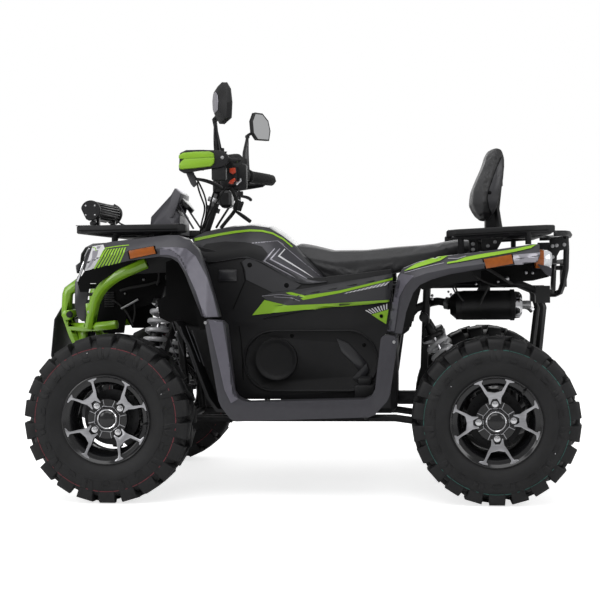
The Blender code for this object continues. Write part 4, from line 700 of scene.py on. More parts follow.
# Wheels
# One half of a forked spoke: radius in mm and angle from the spoke's middle in degrees.
SPOKE_HALF = [(94, 0), (101, 12.9), (115, 15.4), (128, 17.2), (134, 17.2), (137.5, 15), (142, 14.6), (142.4, 21.5),
              (142, 27.5), (137.5, 26.5), (133, 21.8), (126, 20.6), (114, 19.7), (100, 19), (80, 15.5), (68, 17),
              (59, 19), (58, 15), (66, 10.5), (74, 5.5)]
HUB_SINK = 0.007
RIM_RISE = 0.0118
STUD_CIRCLE = 56
HUB_LINE_CIRCLE = 45


def polar(radius, angle, centre, y):
    turn = math.radians(angle)
    return Vector((centre.x + radius * math.cos(turn) / 1000, y, centre.z + radius * math.sin(turn) / 1000))


def faced(piece, side, face_material, body_material, limit):
    """Machined finish on the faces that look outwards, the other one elsewhere."""
    coat_with(piece, body_material, face_material)
    for polygon in piece.data.polygons:
        polygon.material_index = 1 if polygon.normal.y * side > limit else 0


def make_wheel(tyre, side, word, end):
    """Barrel, forked spokes with machined faces, hub, cap, nuts and valve."""
    wide = tyre["carcass"][0][1] / 1000
    centre = Vector((tyre["x"], side * tyre["y"], tyre["centre_z"]))
    out = Vector((0, side, 0))
    wheel = "wheel_" + end + "_" + word
    stem = "rim_" + end + "_" + word
    seat = 0.1268
    outer = [(seat, wide - 0.004), (seat, wide), (0.1445, wide + 0.0045), (0.1475, wide + 0.0058),
             (0.1492, wide + 0.0080), (0.1485, wide + 0.0102), (0.1462, wide + 0.0110), (0.1435, wide + 0.0092),
             (0.1395, wide + 0.0040), (0.1340, wide + 0.0005), (0.1250, wide - 0.0030), (0.1190, wide - 0.012),
             (0.1150, wide - 0.030)]
    well = [(0.110, wide * 0.35), (0.110, -wide * 0.35)]
    back = [(0.1150, -wide + 0.030), (0.1190, -wide + 0.012), (0.1250, -wide + 0.003), (0.1340, -wide - 0.0005),
            (0.1395, -wide - 0.004), (0.1435, -wide - 0.0092), (0.1462, -wide - 0.011), (0.1492, -wide - 0.008),
            (0.1475, -wide - 0.0058), (0.1445, -wide - 0.0045), (seat, -wide), (seat, -wide + 0.004),
            (0.1145, -wide * 0.35), (0.1145, wide * 0.35)]
    barrel = turned(outer + well + back, centre, out, 96, "barrel")
    file_piece(barrel, stem + "_barrel", wheel, WHEEL_BLACK, "rim")
    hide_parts(stem)

    turn = -51 if end == "front" else 3
    face = centre.y + side * (wide - 0.004)
    spokes = []
    for index in range(4):
        angle = turn + 90 * index
        outline = [polar(r, angle + a, centre, face) for r, a in SPOKE_HALF]
        outline += [polar(r, angle - a, centre, face) for r, a in reversed(SPOKE_HALF) if a]
        spoke = slab(outline, (0, -side * 0.020, 0), "spoke")
        for vertex in spoke.data.vertices:
            radius = math.hypot(vertex.co.x - centre.x, vertex.co.z - centre.z) * 1000
            vertex.co.y -= side * HUB_SINK * ramp(96 - radius, 0, 38) ** 1.2
            vertex.co.y += side * RIM_RISE * ramp(radius, 108, 142)
        spokes.append(spoke)
    star = joined(spokes, stem + "_spokes")
    softened(star, 0.0011, 2, 40)
    star.name = stem + "_spokes"
    star.data.name = star.name
    faced(star, side, WHEEL_FACE, WHEEL_BLACK, 0.78)
    smoothed(star, 30)
    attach(star, wheel)

    plate_face = face - side * 0.010
    disc = turned([(0.020, -0.022), (0.0665, -0.022), (0.0680, -0.004), (0.0660, 0.0), (0.0420, 0.0),
                   (0.0390, 0.0045), (0.0200, 0.0045)], Vector((centre.x, plate_face, centre.z)), out, 64, "hub_disc")
    pockets = []
    for index in range(4):
        middle = polar(STUD_CIRCLE, turn + 90 * index, centre, plate_face)
        pockets.append(turned([(0.0105, -0.004), (0.0185, -0.004), (0.0195, 0.0005), (0.0185, 0.0032),
                               (0.0165, 0.0032), (0.0150, -0.001), (0.0105, -0.002)], middle, out, 28, "nut_pocket"))
    hub = joined([disc] + pockets)
    file_piece(hub, stem + "_hub", wheel, WHEEL_BLACK, "rim")

    nuts = []
    for index in range(4):
        middle = polar(STUD_CIRCLE, turn + 90 * index, centre, plate_face)
        nut = drum(middle - out * 0.002, middle + out * 0.010, 0.0088, 0.0083, 6, 0.0008, "wheel_nut")
        nuts.append(nut)
        nuts.append(drum(middle + out * 0.009, middle + out * 0.014, 0.0052, 0.0046, 16, 0.0006, "stud_end"))
        nuts.append(drum(middle - out * 0.002, middle + out * 0.0015, 0.0104, 0.0104, 24, 0.0005, "washer"))
    file_piece(joined(nuts), stem + "_nuts", wheel, BRIGHT, "rim", 25)

    ring = []
    for index in range(8):
        ring.append(polar(HUB_LINE_CIRCLE, turn + 22.5 + 45 * index, centre, plate_face + side * 0.0016))
    lines = [tube(ring, 0.0014, "hub_line", False, 2, True)]
    for index in range(4):
        for swing in (-18, 18):
            angle = turn + 45 + 90 * index + swing
            lines.append(tube([polar(HUB_LINE_CIRCLE, angle, centre, plate_face + side * 0.0014),
                               polar(65.5, angle, centre, plate_face + side * 0.0010)], 0.0013, "hub_tick", False, 2))
    file_piece(joined(lines), stem + "_hub_lines", wheel, WHEEL_FACE, "rim")

    cap_face = Vector((centre.x, plate_face, centre.z))
    trim = turned([(0.0285, 0.002), (0.0330, 0.002), (0.0335, 0.0075), (0.0318, 0.0092), (0.0290, 0.0078)],
                  cap_face, out, 48, "cap_ring")
    file_piece(trim, stem + "_cap_ring", wheel, BRIGHT, "rim")
    cap = turned([(0.0001, 0.002), (0.0283, 0.002), (0.0286, 0.0068), (0.0262, 0.0102), (0.0200, 0.0130),
                  (0.0120, 0.0148), (0.0050, 0.0155), (0.0001, 0.0156)], cap_face, out, 48, "centre_cap")
    file_piece(cap, stem + "_centre_cap", wheel, WHEEL_BLACK, "rim")

    valve_at = polar(133, turn + 45, centre, centre.y + side * (wide - 0.004))
    inward = (Vector((centre.x, valve_at.y, centre.z)) - valve_at).normalized()
    valve = joined([drum(valve_at, valve_at + out * 0.020 + inward * 0.006, 0.0040, 0.0032, 12, name="valve_stem"),
                    drum(valve_at + out * 0.019 + inward * 0.0055, valve_at + out * 0.028 + inward * 0.008, 0.0042,
                         0.0040, 12, 0.0005, "valve_cap")])
    file_piece(valve, stem + "_valve", wheel, RUBBER, "tyre")

    if end == "rear":
        half_shaft(centre, out, wheel, stem)
    brake = turned([(0.060, -0.0010), (0.0935, -0.0010), (0.0940, -0.0045), (0.060, -0.0045)],
                   centre, out, 72, "brake_disc")
    file_piece(brake, stem + "_brake_disc", wheel, CAST_BLACK, "rim")
    # Matt black plugs fill the disc's holes as painted shade.
    holes = []
    for index in range(24):
        angle = 15 * index
        radius = 70 if index % 3 == 0 else 78 if index % 3 == 1 else 86
        at = polar(radius, angle, centre, centre.y)
        holes.append(drum(at - out * 0.0048, at - out * 0.0007, 0.0034, 0.0034, 12, name="disc_hole"))
    file_piece(joined(holes), stem + "_disc_holes", wheel, MATT_BLACK, "rim")
    bell = turned([(0.022, -0.014), (0.050, -0.014), (0.0615, -0.0045), (0.0615, -0.0005), (0.046, 0.004),
                   (0.036, wide - 0.024), (0.022, wide - 0.024)], centre, out, 48, "disc_bell")
    file_piece(bell, stem + "_disc_bell", wheel, CAST_BLACK, "rim")


def half_shaft(centre, out, wheel, stem):
    """The driven axle and its pleated inner boot."""
    length = 0.2837
    profile = [(0.0001, 0.004), (0.0125, 0.004), (0.0125, length * 0.50)]
    for index in range(7):
        along = length * (0.52 + 0.055 * index)
        size = 0.020 + 0.0022 * index
        profile += [(size, along), (size + 0.009, along + 0.006), (size + 0.001, along + 0.0125)]
    profile += [(0.038, length * 0.94), (0.038, length), (0.0001, length)]
    shaft = turned([(r, -y) for r, y in profile], centre, out, 32, "half_shaft")
    file_piece(shaft, stem + "_half_shaft", wheel, RUBBER, "rim")


def make_running_gear():
    for word, side in SIDES:
        make_tyre(FRONT_TYRE, side, word, "front")
        make_tyre(REAR_TYRE, side, word, "rear")
        make_wheel(FRONT_TYRE, side, word, "front")
        make_wheel(REAR_TYRE, side, word, "rear")


# Graphics laid on the panels
def surface_of(*pieces):
    """A search tree over the faces of several pieces."""
    points, faces = [], []
    for piece in pieces:
        base = len(points)
        points += [v.co.copy() for v in piece.data.vertices]
        faces += [[base + i for i in polygon.vertices] for polygon in piece.data.polygons]
    return BVHTree.FromPolygons(points, faces)


RAY_BACK = 0.25
RAY_REACH = 0.6


def hit_along(surface, at, toward):
    """The spot and normal where a ray that starts in front of a place meets a surface, or None."""
    return surface.ray_cast(at - toward * RAY_BACK, toward, RAY_REACH)[:2]


def laid_on(piece, surface, toward, lift):
    """Drops each vertex along a direction onto a surface and lifts it off by a little."""
    toward = Vector(toward).normalized()
    for vertex in piece.data.vertices:
        spot, normal = hit_along(surface, vertex.co, toward)
        if spot is None:
            spot, normal = surface.find_nearest(vertex.co)[:2]
        if normal.dot(toward) > 0:
            normal = -normal
        vertex.co = spot + normal * lift
    piece.data.update()


def diced(piece, cell, axes=(0, 2)):
    """Cuts a flat outline into a grid of cells."""
    take_up(piece)
    low = [min(v.co[i] for v in piece.data.vertices) for i in range(3)]
    high = [max(v.co[i] for v in piece.data.vertices) for i in range(3)]
    bpy.ops.object.mode_set(mode="EDIT")
    for axis in axes:
        cut = low[axis] + cell * 0.5
        while cut < high[axis]:
            bpy.ops.mesh.select_all(action="SELECT")
            spot = [0, 0, 0]
            spot[axis] = cut
            aim = [0, 0, 0]
            aim[axis] = 1
            bpy.ops.mesh.bisect(plane_co=spot, plane_no=aim)
            cut += cell
    bpy.ops.object.mode_set(mode="OBJECT")
    return piece


def graphic(name, pixels, depth, surface, material, slot_name=None, cell=0.014, lift=0.0007):
    """Printed shapes and painted highlight bands from outlines in the picture, laid on the near panels and mirrored.
    """
    shapes = pixels if isinstance(pixels[0][0], (tuple, list)) else [pixels]
    outlines = [[at_pixel(u, v, depth) for u, v in shape] for shape in shapes]
    piece = joined([sheet_panel(outline, name) for outline in outlines])
    piece = diced(piece, cell)
    middle = sum(outlines[0], Vector()) / len(outlines[0])
    laid_on(piece, surface, middle - CAMERA_PLACE, lift)
    faces_out(piece, -1)
    return pair_up(piece, name, material=material, slot_name=slot_name or print_slot(material))


def print_slot(material):
    return "green" if material is LIME_PRINT else "grey_plastic"


def band(route, width, end_width=None):
    """The outline of a strip along a route in the picture."""
    near, far = [], []
    for i, spot in enumerate(route):
        before, after = Vector(route[max(i - 1, 0)]), Vector(route[min(i + 1, len(route) - 1)])
        run = (after - before).normalized()
        size = width if end_width is None else width + (end_width - width) * i / (len(route) - 1)
        reach = Vector((-run.y, run.x)) * size / 2
        near.append(tuple(Vector(spot) + reach))
        far.append(tuple(Vector(spot) - reach))
    return near + far[::-1]


def hatch(top, bottom, count, share=0.5):
    """Slanted stripes between a top edge and a bottom edge in the picture."""
    (top_a, top_b), (low_a, low_b) = top, bottom
    shapes = []
    for i in range(count):
        spots = []
        for a, b, t in ((top_a, top_b, i / count), (top_a, top_b, (i + share) / count),
                        (low_a, low_b, (i + share) / count), (low_a, low_b, i / count)):
            spots.append((a[0] + (b[0] - a[0]) * t, a[1] + (b[1] - a[1]) * t))
        shapes.append(spots)
    return shapes


def pair_up(piece, name, body="chassis", material=None, slot_name=None, angle=35):
    """Files a left piece and its twin across the centre plane."""
    twin = copied(piece, ACROSS_CENTRE)
    file_piece(piece, name + "_left", body, material, slot_name, angle)
    file_piece(twin, name + "_right", body, material, slot_name, angle)
    return piece


def pixel_slab(pixels, y, thickness, soft=0.0, name="slab"):
    """A slab from an outline in the picture, at depth y."""
    outline = []
    for u, v in pixels:
        spot = at_pixel(u, v, y)
        outline.append((spot.x, spot.z))
    piece = side_slab(outline, y, thickness, name)
    if soft:
        softened(piece, soft, 2, 40)
    return piece


def route_at(pixels):
    """Points from (column, row, depth) triples."""
    return [at_pixel(u, v, y) for u, v, y in pixels]


def by_place(piece, rule, *materials):
    """Gives each face the finish that the rule picks from its middle and normal."""
    coat_with(piece, *materials)
    for polygon in piece.data.polygons:
        polygon.material_index = rule(polygon.center, polygon.normal)
    return piece


def nudged(piece, shift):
    """Moves each vertex by what the rule gives for its place."""
    for vertex in piece.data.vertices:
        vertex.co += Vector(shift(vertex.co))
    piece.data.update()
    return piece


def ramp(value, low, high):
    return max(0.0, min(1.0, (value - low) / (high - low)))


def fattened(piece, amount):
    """Swells a piece along its normals."""
    take_up(piece)
    bpy.ops.object.mode_set(mode="EDIT")
    bpy.ops.mesh.select_all(action="SELECT")
    bpy.ops.transform.shrink_fatten(value=amount)
    bpy.ops.object.mode_set(mode="OBJECT")
    return piece


def faces_out(piece, side):
    """Turns an open patch's faces towards its own side."""
    if sum(p.normal.y * p.area for p in piece.data.polygons) * side < 0:
        piece.data.flip_normals()


def bolt(at, aim, radius=0.006, head=0.004, socket=True, name="bolt"):
    """A flanged cap screw with a recessed drive."""
    at, aim = Vector(at), Vector(aim).normalized()
    pieces = [drum(at - aim * 0.002, at + aim * 0.0012, radius * 1.35, radius * 1.25, 20, 0.0003, name),
              drum(at, at + aim * head, radius, radius * 0.92, 16, 0.0006, name)]
    if socket:
        pieces.append(drum(at + aim * (head - 0.0002), at + aim * (head + 0.0004), radius * 0.5, radius * 0.42, 6,
                           name=name))
    return pieces


def bolts(name, spots, body, material=ZINC, radius=0.006, head=0.004, slot_name=None):
    """Several screws at (place, direction) as one piece."""
    pieces = []
    for at, aim in spots:
        pieces += bolt(at, aim, radius, head)
    return file_piece(joined(pieces), name, body, material, slot_name, 30)


def near_bolts(name, pixels, depth, surface, material, radius):
    """Screws on the side panels at places in the picture, and their twins, as one piece."""
    spots = []
    for u, v in pixels:
        at = at_pixel(u, v, depth)
        toward = (at - CAMERA_PLACE).normalized()
        hit, normal = hit_along(surface, at, toward)
        if hit is None:
            hit, normal = at, Vector((0, -1, 0))
        if normal.dot(toward) > 0:
            normal = -normal
        spots.append((hit, normal))
        spots.append((Vector((hit.x, -hit.y, hit.z)), Vector((normal.x, -normal.y, normal.z))))
    return bolts(name, spots, "chassis", material, radius)


# Soft goods
MOST_PUFF = 0.006


def puffed(node, name, voxel, pressure, frames=20, shrink=-0.02):
    """A copy of a packed cushion, remeshed and filled out by a short cloth run under air pressure."""
    piece = packed_copy(node, name)
    with_modifier(piece, "REMESH", mode="VOXEL", voxel_size=voxel)
    with_modifier(piece, "SMOOTH", factor=0.5, iterations=6)
    rest = [v.co.copy() for v in piece.data.vertices]
    take_up(piece)
    holder = piece.vertex_groups.new(name="held")
    floor = min(v.co.z for v in piece.data.vertices)
    held = [v.index for v in piece.data.vertices if v.co.z < floor + 0.012]
    holder.add(held, 1.0, "REPLACE")
    step = piece.modifiers.new("cloth", "CLOTH")
    step.settings.quality = 6
    step.settings.use_pressure = True
    step.settings.uniform_pressure_force = pressure
    step.settings.vertex_group_mass = "held"
    step.settings.shrink_min = shrink
    step.settings.effector_weights.gravity = 0.0
    step.settings.tension_stiffness = 40
    step.settings.compression_stiffness = 40
    step.settings.bending_stiffness = 4
    step.point_cache.frame_start = 1
    step.point_cache.frame_end = frames
    for moment in range(1, frames + 1):
        scene.frame_set(moment)
    bpy.ops.object.modifier_apply(modifier=step.name)
    scene.frame_set(1)
    for vertex, before in zip(piece.data.vertices, rest):
        shift = vertex.co - before
        if shift.length > MOST_PUFF:
            vertex.co = before + shift.normalized() * MOST_PUFF
    return piece


def make_seat():
    piece = puffed("seat", "seat_cushion", 0.0055, 4.0)
    nudged(piece, lambda c: (-0.32 * max(0.0, c.x - 0.45), 0, 0.004 * ramp(c.x, 0.45, 0.55)))
    with_modifier(piece, "SUBSURF", levels=1, render_levels=1)
    file_piece(piece, "seat_cushion", "chassis", VINYL, "vinyl", 60)
    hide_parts("seat")
    return piece


def make_backrest():
    piece = puffed("backrest", "backrest_cushion", 0.0045, 4.0)
    nudged(piece, lambda c: (-0.006 * ramp(c.z, 1.04, 0.94), 0,
                             -0.010 * ramp(c.z, 1.06, 1.16) + 0.006 * ramp(-c.z, -1.0, -0.92)))
    with_modifier(piece, "SUBSURF", levels=1, render_levels=1)
    file_piece(piece, "backrest_cushion", "chassis", None, "vinyl", 60)
    by_place(piece, lambda c, n: int(n.x > -0.5), VINYL, VINYL_SIDE)
    surface = surface_of(piece)
    shell = [(501.2, 158), (502.4, 160), (501.6, 175), (499.6, 189), (496.5, 203), (493.2, 215.6), (491.4, 215),
             (488.6, 207), (487.4, 198), (489.8, 187), (495.5, 171)]
    seam = band([(501.0, 157), (495.2, 171), (489.4, 187), (487.0, 198), (488.4, 207.4), (492.4, 216.4)], 0.8)
    graphic("backrest_panel", shell, -0.15, surface, DARK_GREY, slot_name="vinyl", cell=0.010, lift=0.0014)
    graphic("backrest_seam", seam, -0.15, surface, DEEP_BLACK, slot_name="vinyl", cell=0.010, lift=0.0020)
    near_bolts("backrest_bolts", [(489.7, 192.6)], -0.15, surface, DEEP_BLACK, 0.0050)
    low, high = at_pixel(485.6, 229.5, -0.05), at_pixel(498.2, 213, -0.05)
    file_piece(box((low.x, -0.055, low.z), (high.x, 0.055, high.z), 0.004), "backrest_block", "chassis", MATT_BLACK,
               "black_plastic")
    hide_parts("backrest")
    return piece


# Body
# Side, lift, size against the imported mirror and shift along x.
MIRRORS = (("left", 0.012, 0.94, 0.0), ("right", 0.047, 0.80, -0.016))


def light_bar_cut(c):
    """Flattens the work light's front onto the plane of its lens."""
    top, foot = at_pixel(80.4, 206.4, -0.14), at_pixel(87.4, 221.2, -0.14)
    along = (foot - top).normalized()
    outward = Vector((-along.z, 0, along.x))
    if outward.x > 0:
        outward = -outward
    depth = (c - top).dot(outward)
    return outward * -depth if depth > 0 and c.z > 0.952 else (0, 0, 0)


def rear_rack_set(c):
    """Tips the rear carrier up towards the tail, thins its slab and draws the post forwards."""
    tip = (-0.005 + 0.0136 * (c.x - 0.50) / 0.33) * ramp(c.z, 0.840, 0.858)
    thin = (0.902 - c.z) * 0.25 * ramp(c.z, 0.845, 0.856) if c.z < 0.902 else 0
    return (-0.016 * ramp(c.z, 0.905, 0.96), 0, tip + thin)


def make_body():
    """The moulded body in its finishes; returns the pieces that graphics are laid on."""
    parts = {}
    for node, material, width, slot_name in (
            ("front_fender", GREY, 0.002, "grey_plastic"), ("rear_fender", GREY, 0.002, "grey_plastic"),
            ("grille_panel", TANK_BLACK, 0.0015, "grey_plastic"), ("dash_cowl", GREY, 0.003, "grey_plastic"),
            ("body_cover", TANK_BLACK, 0.006, "black_gloss"), ("footwell_left", GREY, 0.003, "grey_plastic"),
            ("footwell_right", GREY, 0.003, "grey_plastic"), ("side_panel_left", MATT_BLACK, 0.003, "black_plastic"),
            ("side_panel_right", MATT_BLACK, 0.003, "black_plastic"),
            ("front_rack", MATT_BLACK, 0.003, "black_plastic"),
            ("rear_rack", MATT_BLACK, 0.003, "black_plastic"), ("light_bar", FRAME_BLACK, 0.0015, "black_steel"),
            ("front_bumper", LIME, 0.0008, "green"), ("bash_plate", SKID, 0.0012, "skid"),
            ("headlight_left", CLEAR, 0.003, "lamp"), ("headlight_right", CLEAR, 0.003, "lamp"),
            ("tail_light_left", CLEAR, 0.003, "lamp"), ("tail_light_right", CLEAR, 0.003, "lamp"),
            ("muffler", PIPE_BLACK, 0.0015, "black_steel"), ("engine_block", CAST_BLACK, 0.004, "cast"),
            ("rear_gearcase", CAST_BLACK, 0.002, "cast"), ("rear_guard", FRAME_BLACK, 0.0008, "black_steel")):
        parts[node] = refined(node, "chassis", material, width, 2, slot=slot_name)
    for node, body, material, slot_name in (
            ("frame", "chassis", *PAINTED),
            ("front_arms_left", "chassis", *PAINTED),
            ("front_arms_right", "chassis", *PAINTED),
            ("rear_suspension_left", "chassis", *PAINTED),
            ("rear_suspension_right", "chassis", *PAINTED),
            ("knuckle_left", "knuckle_left", CAST_BLACK, "cast"),
            ("knuckle_right", "knuckle_right", CAST_BLACK, "cast"),
            ("tie_rod_left", "tie_rod_left", ZINC, "black_steel"),
            ("tie_rod_right", "tie_rod_right", ZINC, "black_steel"),
            ("handlebar", "steering", *PAINTED)):
        parts[node] = refined(node, body, material, 0.0008, 1, 40, slot_name)
    for word in ("left", "right"):
        guard = refined("hand_guard_" + word, "steering", LIME_PLASTIC, 0.002, 2, slot="green_plastic")
        parts["hand_guard_" + word] = by_place(guard, lambda c, n: int(n.x > -0.35), LIME_PLASTIC, MATT_BLACK)
        parts["mirror_" + word] = refined("mirror_" + word, "steering", MATT_BLACK, 0.002, 2, slot="black_plastic")
        by_place(parts["footwell_" + word], lambda c, n: int(abs(c.y) < 0.4395), GREY, MATT_BLACK)
        by_place(parts["headlight_" + word], lambda c, n: int(n.x > -0.6), CLEAR, TANK_BLACK)
        by_place(parts["tail_light_" + word],
                 lambda c, n: 2 if c.z < 0.772 or 0.425 < abs(c.y) < 0.4401 and c.z < 0.775 else int(c.x < 0.795),
                 CLEAR, AMBER, GREY)
    # Inner walls near the middle turn moulded black; the undersides of the flares are the same grey plastic, and
    # their moulded black is painted shade.
    for fender in ("front_fender", "rear_fender"):
        by_place(parts[fender], lambda c, n: int(abs(c.y) < 0.2425 and abs(n.y) > 0.6 or n.z < -0.35
                                                 and abs(c.y) < 0.486), GREY, MATT_BLACK)
    fattened(parts["front_bumper"], 0.0038)
    nudged(parts["front_fender"], lambda c: (0.028 * ramp(0.20 - abs(c.y), 0, 0.05) * ramp(-c.x, 0.80, 0.86)
                                             * ramp(c.z, 0.77, 0.81), 0, 0))
    nudged(parts["front_rack"], lambda c: (0, 0, (-0.004 + (0.934 - c.z) * 0.20) * ramp(c.z, 0.880, 0.886)))
    nudged(parts["light_bar"], lambda c: (0, 0, -0.004 * ramp(-c.z, -0.950, -0.940)))
    nudged(parts["light_bar"], light_bar_cut)
    nudged(parts["rear_rack"], rear_rack_set)
    for word, lift, share, shift in MIRRORS:
        mirror = parts["mirror_" + word]
        nudged(mirror, lambda c: (0, 0, lift * ramp(c.z, 1.17, 1.24)))
        nudged(mirror, lambda c: (Vector((c.x + 0.25, 0, c.z - 1.312 - lift)) * (share - 1) + Vector((shift, 0, 0))
                                  if c.z > 1.225 + lift and abs(c.y) > 0.368 else (0, 0, 0)))
    by_place(parts["muffler"], lambda c, n: int(0.716 < c.x < 0.752) + 2 * int(c.x >= 0.752), PIPE_BLACK, BRIGHT,
             ZINC)
    return parts


# Springs
WIRE = 0.0084


def make_shock(node, foot, head, coils, radius=0.0345):
    """Coil spring over a damper body between its two eyes."""
    foot, head = Vector(foot), Vector(head)
    axis = (head - foot).normalized()
    length = (head - foot).length
    side = axis.cross(Vector((0, 1, 0))).normalized()
    other = axis.cross(side)
    low, high = 0.20, 0.80
    route = []
    steps = coils * 14
    for i in range(steps + 1):
        t = i / steps
        squeezed = t if 0.08 < t < 0.92 else (t * 0.6 if t <= 0.08 else 1 - (1 - t) * 0.6)
        along = length * (low + (high - low) * squeezed)
        turn = math.tau * coils * t
        route.append(foot + axis * along + side * radius * math.cos(turn) + other * radius * math.sin(turn))
    spring = tube(route, WIRE, "spring", False, 3)
    file_piece(spring, node + "_spring_coil", "chassis", SPRING_GREY, "spring")
    body = [drum(foot + axis * length * 0.10, foot + axis * length * 0.60, 0.0215, 0.0215, 28, 0.0015, "damper"),
            drum(foot + axis * length * 0.17, foot + axis * length * 0.205, radius + 0.007, radius + 0.007, 32,
                 0.0015, "lower_seat"),
            drum(foot + axis * length * 0.795, foot + axis * length * 0.83, radius + 0.007, radius + 0.005, 32,
                 0.0015, "upper_seat"),
            drum(foot + axis * length * 0.82, foot + axis * length * 0.93, 0.016, 0.012, 24, 0.001, "head_boss"),
            drum(foot + axis * length * 0.02, foot + axis * length * 0.12, 0.013, 0.018, 24, 0.001, "foot_boss")]
    eyes = []
    for end in (foot, head):
        eyes.append(drum(end - Vector((0.0, 0.016, 0)), end + Vector((0.0, 0.016, 0)), 0.0165, 0.0165, 24, 0.001,
                         "eye"))
    file_piece(joined(body + eyes), node + "_damper", "chassis", *PAINTED)
    rod = drum(foot + axis * length * 0.58, foot + axis * length * 0.84, 0.0062, 0.0062, 20, name="damper_rod")
    file_piece(rod, node + "_damper_rod", "chassis", BRIGHT, "spring")
    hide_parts(node)


def make_shocks():
    for word, side in SIDES:
        make_shock("front_shock_" + word, (-0.605, side * 0.262, 0.260), (-0.490, side * 0.190, 0.750), 9)
        make_shock("rear_shock_" + word, (0.580, side * 0.236, 0.252), (0.408, side * 0.190, 0.600), 7)


# Side trim
def make_tank_side():
    """The smooth cheek between tank cover and seat, with its facet."""
    top = [(191.5, 238.5), (201.5, 233.2), (212, 230.5), (223.5, 228.2), (243.6, 225.8), (257, 226), (271.3, 229.1),
           (281.8, 235), (293.3, 245.6), (304.8, 258), (316, 269.5), (326.8, 280.8)]
    low = [(197.7, 249), (203, 261), (210, 262.6), (222, 261), (236, 258.5), (246.4, 257), (254, 259.5),
           (262, 262.3), (274, 269.5), (288, 278), (302, 285.4), (327.0, 281.6)]
    rows = []
    for t in (0.0, 0.12, 0.30, 0.50, 0.70, 0.88, 1.0):
        row = []
        for (u0, v0), (u1, v1) in zip(top, low):
            bulge = -0.150 - 0.088 * math.sin(min(1, t * 1.15) * math.pi / 2)
            row.append(at_pixel(u0 + (u1 - u0) * t, v0 + (v1 - v0) * t, bulge))
        rows.append(row)
    piece = skin(rows, "tank_side")
    faces_out(piece, -1)
    with_modifier(piece, "SUBSURF", levels=2, render_levels=2)
    with_modifier(piece, "SOLIDIFY", thickness=0.004, offset=-1.0)
    pair_up(piece, "tank_side", material=DARK_GREY, slot_name="grey_plastic", angle=50)
    return piece


TOP_PRINT = 0.0014
MIDDLE_PRINT = 0.0009
LOW_PRINT = 0.0007


